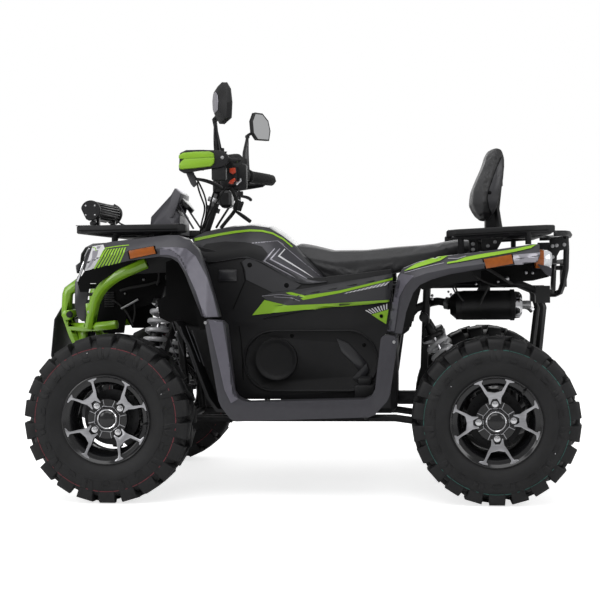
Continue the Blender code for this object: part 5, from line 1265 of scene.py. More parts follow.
def make_side_graphics(parts):
    """Lines, chevrons, plates and the recess on the near side, and their twins on the far side."""
    cheek = surface_of(make_tank_side())
    panel = surface_of(parts["side_panel_left"])
    for name, pixels, surface, material in (
            ("tank_line", band([(194, 240.1), (205, 237.6), (220, 234.6), (236, 232), (250, 230.6), (262, 231),
                                (273, 233.6), (283.8, 239.4), (293, 247.2)], 3.0, 1.4), cheek, LIME_PRINT),
            ("tank_lower", [(199, 250), (206, 243.8), (225, 241.4), (245, 242.2), (252, 243.4), (262, 246.8),
                            (268, 254), (262, 261.0), (262, 261.6), (254, 258.8), (246.4, 256.4), (236, 257.9),
                            (222, 260.4), (210, 262.0), (203.4, 260)], cheek, MATT_BLACK),
            ("tank_facet", [(250, 243), (277.5, 240.8), (292, 249), (326.0, 280.6), (314, 282.6), (297, 281.2),
                            (262, 261.2), (268, 254), (262, 246.6)], cheek, GREY),
            ("tank_facet_edge", [band([(252, 243.2), (277.8, 240.9), (284, 244.8)], 0.7, 0.5),
                                 band([(278.4, 241.4), (300, 259.6), (325.4, 280.4)], 0.6)], cheek, SILVER),
            ("chevrons_dull", [[(274.2, 248.3), (263.2, 261.2), (296.2, 278.4), (290, 274.3), (265.2, 261.0),
                                (275, 248.9)],
                               [(279.5, 248.3), (269.4, 259.3), (307.7, 279.4), (300, 274.4), (271.6, 259.1),
                                (280.3, 248.9)]], cheek, SILVER),
            ("chevron_bright", [[(284.3, 248.8), (277.6, 256.4), (315.4, 279.4), (304, 271.2), (279.8, 255.8),
                                 (285.2, 249.4)]], cheek, LIGHT_PRINT),
            ("chevron_shade", [[(275, 250.4), (265.6, 260), (300, 277.4), (306.5, 281.8), (296, 282.4), (262, 264.0),
                                (261.4, 261)]], cheek, TANK_BLACK)):
        lift = {"chevrons_dull": TOP_PRINT, "chevron_bright": TOP_PRINT, "tank_line": TOP_PRINT,
                "chevron_shade": MIDDLE_PRINT}.get(name, LOW_PRINT)
        graphic(name, pixels, -0.235, surface, material, lift=lift, cell=0.010)
    triangle = [(252.2, 315.2), (264.6, 299.9), (284.2, 304.7), (273.2, 306.1), (330, 303.6), (389.4, 299.8),
                (389.4, 301.6), (340, 306)]
    strip = [(262, 296.5), (272.3, 292.6), (295.2, 289.6), (304, 288.6), (403.4, 271.6), (398, 284), (389.6, 300),
             (340, 304.4), (286, 306.6), (266, 299.4)]
    for name, pixels, material, lift in (
            ("strip_plate", [strip], DARK_GREY, 0.0016),
            ("strip_triangle", [triangle], LIME_PRINT, 0.0030),
            ("strip_upper_green", [[(285.7, 292.7), (291.4, 292.1), (304.8, 295.6), (340, 290.4), (397.3, 276.7),
                                    (396.6, 278.9), (340, 293.0), (303.4, 300.0), (300.4, 298.2), (304, 297.4),
                                    (290, 294.6)]], LIME_PRINT, 0.0030),
            ("strip_pale", hatch(((347, 292.4), (391.3, 281.0)), ((344.4, 293.8), (387.0, 285.2)), 11, 0.66),
             LIGHT_PRINT, 0.0030),
            ("strip_pale_lines", [band([(262, 296), (280, 294.4), (300, 296.6)], 0.5),
                                  band([(274, 296.8), (292, 298), (300, 301)], 0.5)], SILVER, 0.0030),
            ("leg_hatch", hatch(((365.0, 310.4), (388.9, 303.2)), ((371.2, 314.0), (388.4, 308.9)), 8, 0.5),
             LIGHT_PRINT, 0.0012),
            ("leg_triangle", [[(371.2, 314.6), (388.6, 309.3), (386.2, 324.2)]], LIME_PRINT, 0.0012),
            ("bolted_plate", [[(242.3, 261.9), (246.6, 258.2), (255, 259.9), (301, 284.8), (295.2, 289.4),
                               (272.3, 292.3), (246.4, 279.8), (245.5, 271.2)]], DARK_GREY, 0.0030)):
        graphic(name, pixels, -0.236, panel, material, lift=lift, cell=0.012)
    near_bolts("plate_bolts", [(249.8, 265), (286.6, 285.4)], -0.236, panel, DEEP_BLACK, 0.0092)
    near_bolts("side_bolts", [(292, 336), (364, 345), (381.4, 316.1)], -0.236, panel, DEEP_BLACK, 0.0055)

    hatch_box = []
    for (u0, v0), (u1, v1), y, thick in (((218.6, 269.6), (236.6, 281.4), -0.2375, 0.012),
                                         ((220.4, 271.2), (234.8, 279.8), -0.2395, 0.010)):
        low, high = at_pixel(u0, v1, y), at_pixel(u1, v0, y)
        hatch_box.append(box((low.x, y, low.z), (high.x, y + thick, high.z), 0.003))
    pair_up(joined(hatch_box), "service_hatch", "chassis", *GLOSS_MOULDED)
    # Shadow-black lines along the side panel's creases: painted shade.
    creases = [tube([at_pixel(u, v, -0.2336) for u, v in route], 0.0016, "crease", False, 2)
               for route in (((240.5, 262), (243, 268), (245.2, 280.5), (233, 309)),
                             ((207.8, 264), (228, 259.6), (243, 257.6)),
                             ((239, 326), (241.2, 340), (242.6, 362), (243.4, 380)))]
    pair_up(joined(creases), "panel_crease_shade", "chassis", *SHADOW)
    oval = []
    for centre_x, start in ((-0.116, 90), (0.143, -90)):
        for i in range(25):
            angle = math.radians(start + i * 7.5)
            oval.append((centre_x + 0.1055 * math.cos(angle), -0.2335, 0.452 + 0.1055 * math.sin(angle)))
    edge = tube(oval, 0.0032, "recess_edge", False, 3, True)
    pair_up(edge, "recess_edge", "chassis", *MOULDED)
    disc = turned([(0.0001, 0.0), (0.050, 0.0), (0.054, 0.0012), (0.060, 0.0016), (0.066, 0.0060), (0.0725, 0.0064),
                   (0.0735, -0.010), (0.0001, -0.010)], (-0.107, -0.2345, 0.458), (0, -1, 0), 96, "recess_disc")
    pair_up(disc, "recess_disc", "chassis", *MOULDED, angle=50)
    arrow = pixel_slab([(336.5, 338.4), (348.4, 343.6), (366.6, 362.6), (359.6, 372), (352.4, 362.6), (341.6, 352)],
                       -0.2225, 0.006, 0.002, "recess_arrow")
    foot_rest = pixel_slab([(352.6, 378), (366.8, 362.8), (369, 371), (361, 384)], -0.2245, 0.008, 0.002)
    pair_up(joined([arrow, foot_rest]), "recess_arrow", "chassis", *GLOSS_MOULDED)
    pedal = [box((at_pixel(355.6, 399, -0.30).x, -0.345, at_pixel(356, 399, -0.30).z),
                 (at_pixel(375.4, 399, -0.30).x, -0.245, at_pixel(356, 384, -0.30).z), 0.006),
             box((at_pixel(359, 399, -0.30).x, -0.335, at_pixel(356, 384.5, -0.30).z),
                 (at_pixel(372, 399, -0.30).x, -0.252, at_pixel(356, 377.4, -0.30).z), 0.005)]
    pair_up(joined(pedal), "heel_block", "chassis", *MOULDED)


def make_flare_graphics(parts):
    """Painted highlight bands on the leg and footwell facets, stripes, corner panels and reflectors on the fender
    flares.
    """
    front = surface_of(parts["front_fender"])
    rear = surface_of(parts["rear_fender"])
    wells = surface_of(parts["footwell_left"])
    # Lighter grey bands down the front leg, the rear leg and the footwell's front, where the rounded plastic catches
    # the light: painted highlight.
    for name, pixels, surface in (
            ("front_leg_highlight", [(160, 248), (174, 247.4), (186, 248.6), (195.7, 256.3), (206.9, 277.7), (213, 297),
                                 (217.8, 317.0), (204.1, 317.0), (195.7, 292), (186.5, 271.6), (177.3, 257.6),
                                 (168, 254.6), (160, 254.8)], front),
            ("rear_leg_highlight", [(386.4, 331), (390, 303.7), (396.6, 280), (401.5, 273.4), (414, 276.2), (406, 285),
                                (399.6, 297), (394.8, 331)], rear),
            ("well_highlight", [(208.6, 320.4), (222.4, 320.4), (228.8, 360), (235.4, 392), (238, 399), (231, 403),
                            (224.6, 390), (217.8, 360)], wells)):
        graphic(name, pixels, -0.48, surface, HIGHLIGHT_GREY, lift=0.0013, cell=0.006)
    for name, pixels, surface, material, lift in (
            ("flare_corner", [[(92.6, 246.4), (103.4, 244.6), (105.0, 248.8), (94.2, 267.8), (84.6, 270.6)]], front,
             LIGHT_PRINT, 0.0007),
            ("flare_corner_shade", [[(92.8, 251), (98.6, 250.2), (97, 256), (90, 267), (87.4, 268.2), (92, 258)],
                                    [(97, 246.6), (101, 246), (99.6, 248.6), (96.8, 249)]], front, SILVER, 0.0011),
            ("flare_corner_line", [band([(92.6, 247.4), (95.4, 248.2), (96.4, 251.2)], 0.8),
                                   band([(104.4, 249.4), (94.0, 268.6)], 0.7)], front, LIME_PRINT, 0.0014),
            ("flare_stripes", hatch(((105.6, 250.0), (127.4, 247.8)), ((93.8, 268.4), (121.6, 262.0)), 8, 0.56),
             front, LIME_PRINT, 0.0024),
            ("flare_line", [band([(104.6, 248.6), (116, 246.6), (129, 245.2)], 0.9)], front, LIME_PRINT, 0.0011),
            ("rear_stripe", [[(404.2, 271.4), (415, 264.8), (425.2, 261.0), (436, 257.6), (448.4, 256.0),
                              (440.6, 261.0), (428, 264.8), (415.7, 268.5)],
                             [(447.6, 262.6), (456, 261.2), (465.9, 257.6), (481.2, 254.6), (511.8, 250.0),
                              (537.4, 244.6), (531.2, 248.6), (514.9, 252.4), (480.6, 258.6), (463, 261.8),
                              (447, 264.4)]], rear, LIME_PRINT, 0.0026),
            ("rear_stripe_grey", [band([(404.6, 273.0), (418, 269.2), (432, 265.6), (444, 263.0)], 0.6),
                                  band([(448, 258.6), (458, 258.6), (466, 256.2)], 0.9)], rear, SILVER, 0.0011),
            ("rear_corner_panel", [[(512.6, 255.6), (539.6, 253.2), (540.6, 261.6), (515.0, 265.2)]], rear, SILVER,
             0.0030)):
        graphic(name, pixels, -0.47, surface, material, lift=lift, cell=0.007)
    for name, pixels, surface in (
            ("front_reflector", [(128.6, 250.8), (153.2, 246.2), (155.4, 253.6), (130.2, 258.8)], front),
            ("rear_reflector", [(483.8, 259.2), (511.4, 254.4), (513.4, 263.6), (486.4, 268.6)], rear)):
        middle = Vector((sum(u for u, v in pixels) / 4, sum(v for u, v in pixels) / 4))
        frame_px = [tuple(middle + (Vector(spot) - middle) * 1.10) for spot in pixels]
        lens = reflector(name, pixels, surface, 0.0085)
        holder = reflector(name, frame_px, surface, 0.0045)
        pair_up(holder, name + "_holder", "chassis", *SHADOW)
        pair_up(lens, name, material=AMBER, slot_name="lamp")
    near_bolts("flare_screws", [(205.4, 322.8), (394, 342)], -0.49, surface_of(parts["footwell_left"]), ZINC, 0.0042)


def reflector(name, pixels, surface, height):
    """A raised block on a flare from its four corners in the picture."""
    outermost = 0
    for u, v in pixels:
        at = at_pixel(u, v, -0.47)
        toward = (at - CAMERA_PLACE).normalized()
        hit = hit_along(surface, at, toward)[0]
        outermost = min(outermost, hit.y if hit else -0.47)
    piece = slab([at_pixel(u, v, outermost - height) for u, v in pixels], (0, 0.022 + height, 0), name)
    return softened(piece, 0.0012, 2)


# Bars and mirrors
def mirror_face(side, lift, share, shift):
    """Places a point of the mirror's own plane: depth, width, height."""
    turn = Matrix.Rotation(math.radians(25), 4, "Z")
    place = Matrix.Translation((-0.255, -0.405, 1.312)) @ turn

    def spot(depth, y, z):
        at = place @ Vector((depth, y, z))
        at.z += lift
        at.x += (at.x + 0.25) * (share - 1) + shift
        at.z += (at.z - 1.312 - lift) * (share - 1)
        return Vector((at.x, at.y * -side, at.z))
    return spot


def make_mirrors():
    outline = [(-0.115, -0.062), (-0.015, -0.070), (0.022, -0.040), (0.030, 0.020), (0.004, 0.066),
               (-0.060, 0.070), (-0.110, 0.040), (-0.128, -0.010)]
    for word, lift, share, shift in MIRRORS:
        side = -1 if word == "left" else 1
        spot = mirror_face(side, lift, share, shift)
        glass = [spot(0.0012, -0.05 + (y + 0.05) * 0.91, z * 0.91) for y, z in outline]
        piece = slab(glass, spot(0.0016, 0, 0) - spot(0, 0, 0), "glass")
        file_piece(piece, "mirror_glass_" + word, "steering", MIRROR_GLASS, "lamp", 20)
        rim = [spot(0.0006, -0.05 + (y + 0.05) * 0.965, z * 0.965) for y, z in outline]
        edge = tube(rim, 0.0034, "mirror_rim", False, 3, True)
        file_piece(edge, "mirror_rim_" + word, "steering", *HOSE)
        panel = [spot(-0.0368, -0.05 + (y + 0.05) * 0.52, z * 0.52) for y, z in outline]
        shell = slab(panel, spot(-0.0375, 0, 0) - spot(-0.035, 0, 0), "mirror_back")
        softened(shell, 0.0012, 2)
        file_piece(shell, "mirror_back_" + word, "steering", SILVER, "black_plastic", 40)
        foot = Vector((-0.291, side * 0.31, 1.172))
        neck = Vector((-0.284 + shift, side * 0.386, 1.266 + lift))
        arm = tube([foot, foot.lerp(neck, 0.35) + Vector((-0.004, 0, 0)), foot.lerp(neck, 0.7), neck], 0.0125,
                   "mirror_arm", True, 3, taper=[1.0, 0.85, 0.6, 0.45])
        joint = ball(neck, (0.0095, 0.0095, 0.0095), "mirror_joint")
        nut = drum(foot - Vector((0, 0, 0.012)), foot + Vector((0, 0, 0.006)), 0.0135, 0.0120, 6, 0.001, "stem_nut")
        file_piece(joined([arm, joint, nut]), "mirror_arm_" + word, "steering", *GLOSS_MOULDED)


def make_hand_guards():
    for name, y, thick, pixels, material, soft, slot_name in (
            ("guard_surround", -0.452, 0.016, [(179.4, 153), (186, 149.9), (200, 149.6), (214, 150), (221.4, 150.6),
                                               (227, 153.8), (229.2, 158.4), (227.4, 163.2), (222.6, 166.6),
                                               (212, 168.4), (197, 170.8), (184, 173.4), (178.6, 170.2)],
             MATT_BLACK, 0.004, "black_plastic"),
            ("guard_upper", -0.4605, 0.012, [(178.4, 155), (183, 152.6), (195, 151.4), (209, 151.2), (213, 152.8),
                                             (214.2, 157.4), (196, 158.2), (184, 158.8), (178.6, 158.8)],
             LIME_PLASTIC, 0.0035, "green_plastic"),
            ("guard_lower", -0.4612, 0.012, [(180.8, 161.4), (184, 158.6), (214.3, 157.2), (213.6, 163),
                                             (210.6, 166.2), (196, 167.8), (180.4, 169.4), (178.4, 167.2),
                                             (178.6, 164.6)],
             LIME_PLASTIC, 0.0035, "green_plastic")):
        pair_up(pixel_slab(pixels, y, thick, soft, name), name, "steering", material, slot_name, 40)
    screw = at_pixel(222.4, 157.6, -0.452)
    for word, side in SIDES:
        at = Vector((screw.x, side * 0.4525, screw.z))
        bolts("guard_screw_" + word, [(at, (0, side, 0))], "steering", ZINC, 0.0045, 0.003)
    lug = box((at_pixel(212.4, 160, -0.42).x, -0.444, at_pixel(212, 181, -0.42).z),
              (at_pixel(226.4, 160, -0.42).x, -0.408, at_pixel(212, 166.5, -0.42).z), 0.006)
    file_piece(lug, "guard_lug", "steering", *MOULDED)
    bracket = pixel_slab([(185.6, 172.4), (193.4, 172), (196.4, 184.6), (193.4, 187.4), (190.6, 184)], -0.425, 0.012,
                         0.002, "lever_bracket")
    pair_up(bracket, "lever_bracket", "steering", *GREY_MOULDED)
    lever = tube(route_at([(195, 179, -0.42), (204, 179.6, -0.41), (213, 182.4, -0.38), (221, 187.6, -0.32)]), 0.0068,
                 "brake_lever", True, 3, taper=[0.7, 0.9, 1.0, 1.0])
    pair_up(lever, "brake_lever", "steering", CAST_BLACK, "black_steel")


def make_grips():
    """Rubber sleeves with a crossed rib pattern, flanges, switch pods and master cylinders."""
    inner, outer = Vector((-0.285, -0.28, 1.145)), Vector((-0.212, -0.40, 1.138))
    along = (outer - inner).normalized()
    first = along.cross(Vector((0, 0, 1))).normalized()
    second = along.cross(first)
    length = (outer - inner).length + 0.010
    ribs = []
    for way in (1, -1):
        for index in range(9):
            route = []
            for step in range(15):
                t = step / 14
                turn = math.tau * (index / 9 + way * t * 0.62)
                reach = first * math.cos(turn) + second * math.sin(turn)
                route.append(inner + along * (0.020 + (length - 0.036) * t) + reach * 0.0222)
            ribs.append(tube(route, 0.0012, "rib", False, 1))
    sleeve = [drum(inner + along * 0.004, inner + along * 0.014, 0.0275, 0.0255, 32, 0.0018, "flange"),
              drum(inner + along * 0.012, outer + along * 0.010, 0.0222, 0.0222, 32, 0.001, "sleeve"),
              drum(outer + along * 0.004, outer + along * 0.0118, 0.0235, 0.0205, 32, 0.003, "end")]
    pair_up(joined(ribs + sleeve), "grip_sleeve", "steering", *HOSE, 50)
    pod = [drum(inner - along * 0.048, inner - along * 0.006, 0.0245, 0.0232, 28, 0.003, "pod"),
           box(inner - along * 0.030 + Vector((-0.020, -0.016, -0.030)),
               inner - along * 0.030 + Vector((0.016, 0.018, 0.012)), 0.005)]
    pair_up(joined(pod), "switch_pod", "steering", *MOULDED, 40)
    for word, side in SIDES:
        base = Vector((-0.312, side * 0.205, 1.142))
        tank = [box(base + Vector((-0.022, -0.026, 0.004)), base + Vector((0.018, 0.026, 0.034)), 0.005),
                drum(base + Vector((0, side * 0.020, -0.004)), base + Vector((0, -side * 0.036, -0.012)),
                     0.012, 0.010, 24, 0.002)]
        file_piece(joined(tank), "brake_cylinder_" + word, "steering", CAST_BLACK, "cast")
        lid = box(base + Vector((-0.0235, -0.0275, 0.0335)), base + Vector((0.0195, 0.0275, 0.0385)), 0.002)
        file_piece(lid, "cylinder_lid_" + word, "steering", *MOULDED)
    switches = [pixel_slab([(229.4, 166.6), (234.8, 166), (235.4, 172.6), (232.4, 174.2), (229, 172.2)],
                           -0.222, 0.016, 0.003, "switch"),
                pixel_slab([(228.2, 183.2), (230.4, 180.0), (234.6, 177.6), (235.2, 180.2), (231.8, 184.4)],
                           -0.222, 0.016, 0.0025, "switch")]
    file_piece(joined(switches), "red_switches", "steering", RED, "lamp")
    low, high = at_pixel(220.5, 190, -0.17), at_pixel(246, 163.6, -0.17)
    back = box((low.x, -0.175, low.z), (high.x, -0.135, high.z), 0.008)
    low, high = at_pixel(227.8, 186, -0.20), at_pixel(236.8, 164.6, -0.20)
    file_piece(joined([back, box((low.x, -0.211, low.z), (high.x, -0.165, high.z), 0.005)]), "switch_block",
               "steering", *MOULDED)
    silver = pixel_slab([(234.6, 182.6), (240.6, 178.4), (241.4, 181), (237, 185.4)], -0.21, 0.010, 0.0015)
    file_piece(silver, "switch_toggle", "steering", BRIGHT, "lamp")


COLUMN_LEAN = math.radians(20)
COLUMN_TOP = (-0.338, 0, 1.085)
COLLAR_HEIGHT = 1.03
CLAMPS = (-0.040, 0.040)


def make_bar_centre():
    """Clamp halves with their bolts, the key switch and the column's split collar."""
    axis = Vector((math.sin(COLUMN_LEAN), 0, math.cos(COLUMN_LEAN)))
    back = Vector((axis.z, 0, -axis.x))
    top = Vector(COLUMN_TOP)
    spots = []
    for y in CLAMPS:
        for reach in (-0.020, 0.020):
            spots.append((top + axis * 0.024 + back * reach + Vector((0, y, 0)), axis))
    bolts("clamp_bolts", spots, "steering", ZINC, 0.0055, 0.006, "black_steel")
    clamps = []
    for y in CLAMPS:
        at = top + Vector((0, y, 0.004))
        clamps.append(turned([(0.0135, -0.012), (0.0210, -0.012), (0.0225, -0.009), (0.0225, 0.009), (0.0210, 0.012),
                              (0.0135, 0.012)], at, (0, 1, 0), 32, "clamp"))
    file_piece(joined(clamps), "bar_clamps", "steering", CAST_BLACK, "cast")
    key_at = at_pixel(239, 203.4, -0.085)
    barrel = drum(key_at - axis * 0.026, key_at + axis * 0.010, 0.0165, 0.0165, 32, 0.002, "key_barrel")
    ring = drum(key_at + axis * 0.009, key_at + axis * 0.013, 0.0150, 0.0135, 32, 0.001, "key_ring")
    file_piece(barrel, "key_switch", "steering", *MOULDED)
    file_piece(ring, "key_ring", "steering", BRIGHT, "black_steel")
    key = joined([box(key_at + Vector((-0.002, -0.001, 0.012)), key_at + Vector((0.007, 0.001, 0.026)), 0.0005),
                  box(key_at + Vector((-0.006, -0.0025, 0.022)), key_at + Vector((0.016, 0.0025, 0.044)), 0.003)])
    file_piece(key, "ignition_key", "steering", *HOSE)
    collar_at = Vector((top.x - (COLUMN_TOP[2] - COLLAR_HEIGHT) * math.tan(COLUMN_LEAN), 0, COLLAR_HEIGHT))
    collar = turned([(0.0140, -0.009), (0.0300, -0.009), (0.0315, -0.006), (0.0315, 0.006), (0.0300, 0.009),
                     (0.0140, 0.009)], collar_at, axis, 36, "collar")
    file_piece(collar, "column_collar", "steering", *PLATED)


def make_cables():
    """Throttle, brake and wiring runs from the bars into the body, and the gear lever."""
    runs = (
        ("throttle_cable", 0.0032, [(197, 183, -0.40), (200, 196, -0.30), (206, 205, -0.18), (203.6, 216, -0.10),
                                    (200.6, 226, -0.07), (200, 236, -0.06)]),
        ("brake_cable_left", 0.0032, [(193, 174, -0.42), (199, 182, -0.36), (208, 200, -0.20), (207, 214, -0.09),
                                      (203, 228, -0.06)]),
        ("choke_cable", 0.0028, [(226, 188, -0.20), (216, 203, -0.13), (208.4, 214, -0.08), (204.6, 228, -0.05)]),
        ("wiring_loom", 0.0068, [(231, 188, -0.19), (238, 200, -0.14), (237.4, 210, -0.09), (228, 219, -0.07),
                                 (221, 228, -0.06)]),
        ("brake_hose_right", 0.0042, [(244, 182, 0.20), (236, 196, 0.12), (229, 208, 0.07), (222, 218, 0.05),
                                      (216, 228, 0.05)]),
        ("clutch_hose", 0.0036, [(222, 176, -0.24), (213.6, 190, -0.17), (211, 204, -0.10), (206.6, 216, -0.07),
                                 (201.6, 230, -0.05)]))
    for name, radius, route in runs:
        piece = tube(route_at(route), radius, name, True, 2)
        file_piece(piece, name, "steering", *HOSE)
    lever = tube(route_at([(236.4, 211.6, -0.03), (243, 216, -0.04), (250.4, 221.6, -0.05)]), 0.0085,
                 "column_lever", True, 3, taper=[0.6, 1.0, 0.8])
    file_piece(lever, "gear_lever", "chassis", *MOULDED)


# Front end
def make_light_bar():
    """Lens, bezel ribs, end discs, bail and lead of the work light."""
    middle = Vector((-0.792, 0, 0.995))
    top, foot = at_pixel(80.4, 206.4, -0.14), at_pixel(87.4, 221.2, -0.14)
    face = [top.lerp(foot, 0.10), top.lerp(foot, 0.90)]
    outward = light_bar_cut(top + Vector((-0.02, 0, 0))) * -1
    outline = [(face[0].x, -0.118, face[0].z), (face[1].x, -0.118, face[1].z), (face[1].x, 0.118, face[1].z),
               (face[0].x, 0.118, face[0].z)]
    file_piece(softened(slab(outline, outward.normalized() * 0.0022, "lens"), 0.0008, 2), "work_light_lens",
               "chassis", CLEAR, "lamp")
    fins = []
    for index in range(11):
        angle = math.radians(-62 + index * 17.5)
        at = middle + Vector((math.cos(angle) * 0.0305, 0, math.sin(angle) * 0.0305))
        fin = box((-0.0040, -0.126, -0.0012), (0.0048, 0.126, 0.0012), 0.0006)
        fin.data.transform(Matrix.Translation(at) @ Matrix.Rotation(-angle, 4, "Y"))
        if all(Vector(light_bar_cut(v.co)).length < 0.012 for v in fin.data.vertices):
            fins.append(fin)
        else:
            bpy.data.objects.remove(fin)
    file_piece(nudged(joined(fins), light_bar_cut), "work_light_fins", "chassis", *PAINTED)
    for word, side in SIDES:
        cap = turned([(0.0001, 0.0), (0.030, 0.0), (0.0345, 0.002), (0.0365, 0.006), (0.0365, 0.012), (0.0340, 0.014),
                      (0.0001, 0.014)], (middle.x, side * 0.132, middle.z), (0, side, 0), 40, "end_disc")
        screws = []
        for index in range(4):
            angle = math.radians(45 + 90 * index)
            at = Vector((middle.x + 0.024 * math.cos(angle), side * 0.146, middle.z + 0.024 * math.sin(angle)))
            screws += bolt(at, (0, side, 0), 0.0026, 0.0018, False)
        file_piece(nudged(cap, light_bar_cut), "work_light_end_" + word, "chassis", *MOULDED)
        file_piece(nudged(joined(screws), light_bar_cut), "work_light_screws_" + word, "chassis", *PLATED)
        pivot = Vector((middle.x + 0.004, side * 0.118, 0.948))
        post = drum(pivot, pivot + Vector((0, side * 0.020, 0)), 0.011, 0.010, 20, 0.0015)
        file_piece(post, "work_light_pivot_" + word, "chassis", *MOULDED)
    bail = tube([(middle.x + 0.006, 0.150, 0.955), (middle.x + 0.026, 0.152, 0.968), (middle.x + 0.040, 0.152, 0.996),
                 (middle.x + 0.030, 0.152, 1.022), (middle.x + 0.004, 0.150, 1.034)], 0.0028, "bail", True, 3)
    lead = tube([(middle.x + 0.030, 0.06, 0.975), (middle.x + 0.060, 0.05, 0.945), (middle.x + 0.120, 0.03, 0.940),
                 (middle.x + 0.165, 0.01, 0.930), (middle.x + 0.180, 0.0, 0.890)], 0.0032, "lead", True, 2)
    file_piece(joined([bail, lead]), "work_light_lead", "chassis", *HOSE)


def make_nose(parts):
    """Painted shade sheets behind the nose, nose trim, lamp surrounds and the front carrier's mounts."""
    # Flat shadow-black sheets where the nose, the arch and the front leg lie in shade: painted shade.
    nose_shade_outline = [(97, 272), (120, 264), (150, 259), (170, 256.4), (172, 306), (160, 303), (150, 304), (140, 307),
             (130, 311), (126, 318), (124, 333), (104, 333), (97.4, 322), (96.6, 287)]
    arch_shade_outline = [(176, 258), (184, 266), (192, 284), (203.4, 322.4), (199, 326), (184, 323), (171, 323), (159.5, 317.5),
              (157, 300), (166, 296), (166, 262)]
    side_panel = pixel_slab(nose_shade_outline, -0.196, 0.004, 0, "nose_shade_sheet")
    cheek = pixel_slab(arch_shade_outline, -0.335, 0.004, 0, "arch_shade_sheet")
    wedge = pixel_slab([(85.4, 271.4), (127, 261.4), (141, 259), (120, 268), (106, 278), (97, 284), (88, 276.4)],
                       -0.315, 0.004, 0, "flare_shade_sheet")
    crown = pixel_slab([(84.6, 271.0), (91, 269.4), (102, 266), (102, 281), (98, 283.2), (90, 283.4), (88.6, 292),
                        (80, 292), (77.4, 282.4)], -0.243, 0.004, 0, "pillar_shade_sheet")
    joint = pixel_slab([(194, 306), (210, 306), (217, 328), (200, 330)], -0.42, 0.004, 0, "leg_shade_sheet")
    pair_up(joined([side_panel, cheek, wedge, crown, joint]), "nose_shade_sheets", "chassis", *SHADOW)
    trims = [pixel_slab(band([(90.2, 248.2), (86.4, 257.6), (82.6, 266), (77.2, 281.4)], 2.6, 1.8), -0.2455,
                        0.010, 0.001),
             pixel_slab(band([(88, 249), (84.6, 256.4)], 1.1), -0.252, 0.006)]
    pair_up(joined(trims), "nose_trim", material=BRIGHT, slot_name="lamp", angle=30)
    dark = [pixel_slab([(90.6, 246.8), (92.4, 250), (84.4, 270.6), (82.8, 269.4), (84, 258)], -0.250, 0.012, 0.002),
            pixel_slab([(75.4, 265.4), (80.8, 261.4), (81.4, 264), (76.6, 273.6)], -0.235, 0.05, 0.002)]
    pair_up(joined(dark), "lamp_surround", material=TANK_BLACK, slot_name="black_gloss", angle=30)
    toward = (at_pixel(69.4, 314.4, -0.2) - CAMERA_PLACE).normalized()
    plug = surface_of(parts["front_bumper"]).ray_cast(CAMERA_PLACE, toward, 9.0)[0] or at_pixel(69.4, 314.4, -0.2)
    pair_up(drum(plug + Vector((0, 0.004, 0)), plug - Vector((0, 0.004, 0)), 0.0125, 0.0110, 28, 0.0015),
            "bumper_plug", "chassis", *MOULDED)
    flange = pixel_slab([(85.2, 303.4), (96.6, 303), (97.6, 309.4), (95, 316), (86.4, 316)], -0.262, 0.010, 0.003)
    pair_up(flange, "bumper_flange", material=LIME, slot_name="green")
    pieces = []
    for u, v in ((89, 312), (94, 308)):
        pieces += bolt(at_pixel(u, v, -0.262), (0, -1, 0), 0.0045, 0.004)
    pair_up(joined(pieces), "bumper_bolts", "chassis", *PLATED)
    strut = tube(route_at([(121.4, 308.8, -0.21), (138.2, 299.4, -0.21)]), 0.0045, "strut", False, 3)
    bits = [ball(at_pixel(u, v, -0.20), (size, size, size), "bit", 10, 6) for u, v, size in
            ((143.6, 279.6, 0.005), (166.4, 276.2, 0.0045), (175.8, 262.6, 0.0045), (125, 293.6, 0.004),
             (157.6, 342, 0.007), (163, 353, 0.007))]
    pair_up(joined([strut] + bits), "nose_fixings", "chassis", *PLATED)
    fins = []
    for index in range(7):
        top, low = at_pixel(104.6, 292 + index * 2.3, -0.20), at_pixel(114.4, 293.2 + index * 2.3, -0.20)
        fins.append(box((top.x, -0.2035, low.z), (low.x, -0.196, top.z), 0.0005))
    pair_up(joined(fins), "relay_fins", material=FRAME_BLACK, slot_name="black_plastic")
    hoses = []
    for route, radius in (([(120, 291, -0.21), (131, 286, -0.215), (144, 287, -0.21), (160, 281, -0.205)], 0.0048),
                          ([(152, 262, -0.22), (159, 266, -0.225), (161, 276, -0.22), (157, 285, -0.21)], 0.0040),
                          ([(112, 300, -0.205), (122, 304, -0.21), (130, 315, -0.21), (133, 326, -0.21)], 0.0036),
                          ([(133, 322, -0.21), (136, 312, -0.215), (134, 304, -0.21)], 0.0030)):
        hoses.append(tube(route_at(route), radius, "hose", True, 2))
    pair_up(joined(hoses), "front_hoses", "chassis", *HOSE)
    ribs = []
    for a, b in (((172, 322), (184, 356)), ((180, 326), (196, 372)), ((186, 326), (200, 362)),
                 ((170, 340), (182, 372)), ((192, 330), (204, 366))):
        ribs.append(tube(route_at([(*a, -0.437), (*b, -0.437)]), 0.0016, "guard_rib", False, 1))
    pair_up(joined(ribs), "mud_guard_ribs", "chassis", *GREY_MOULDED)


RAIL_HEIGHT = 0.8665


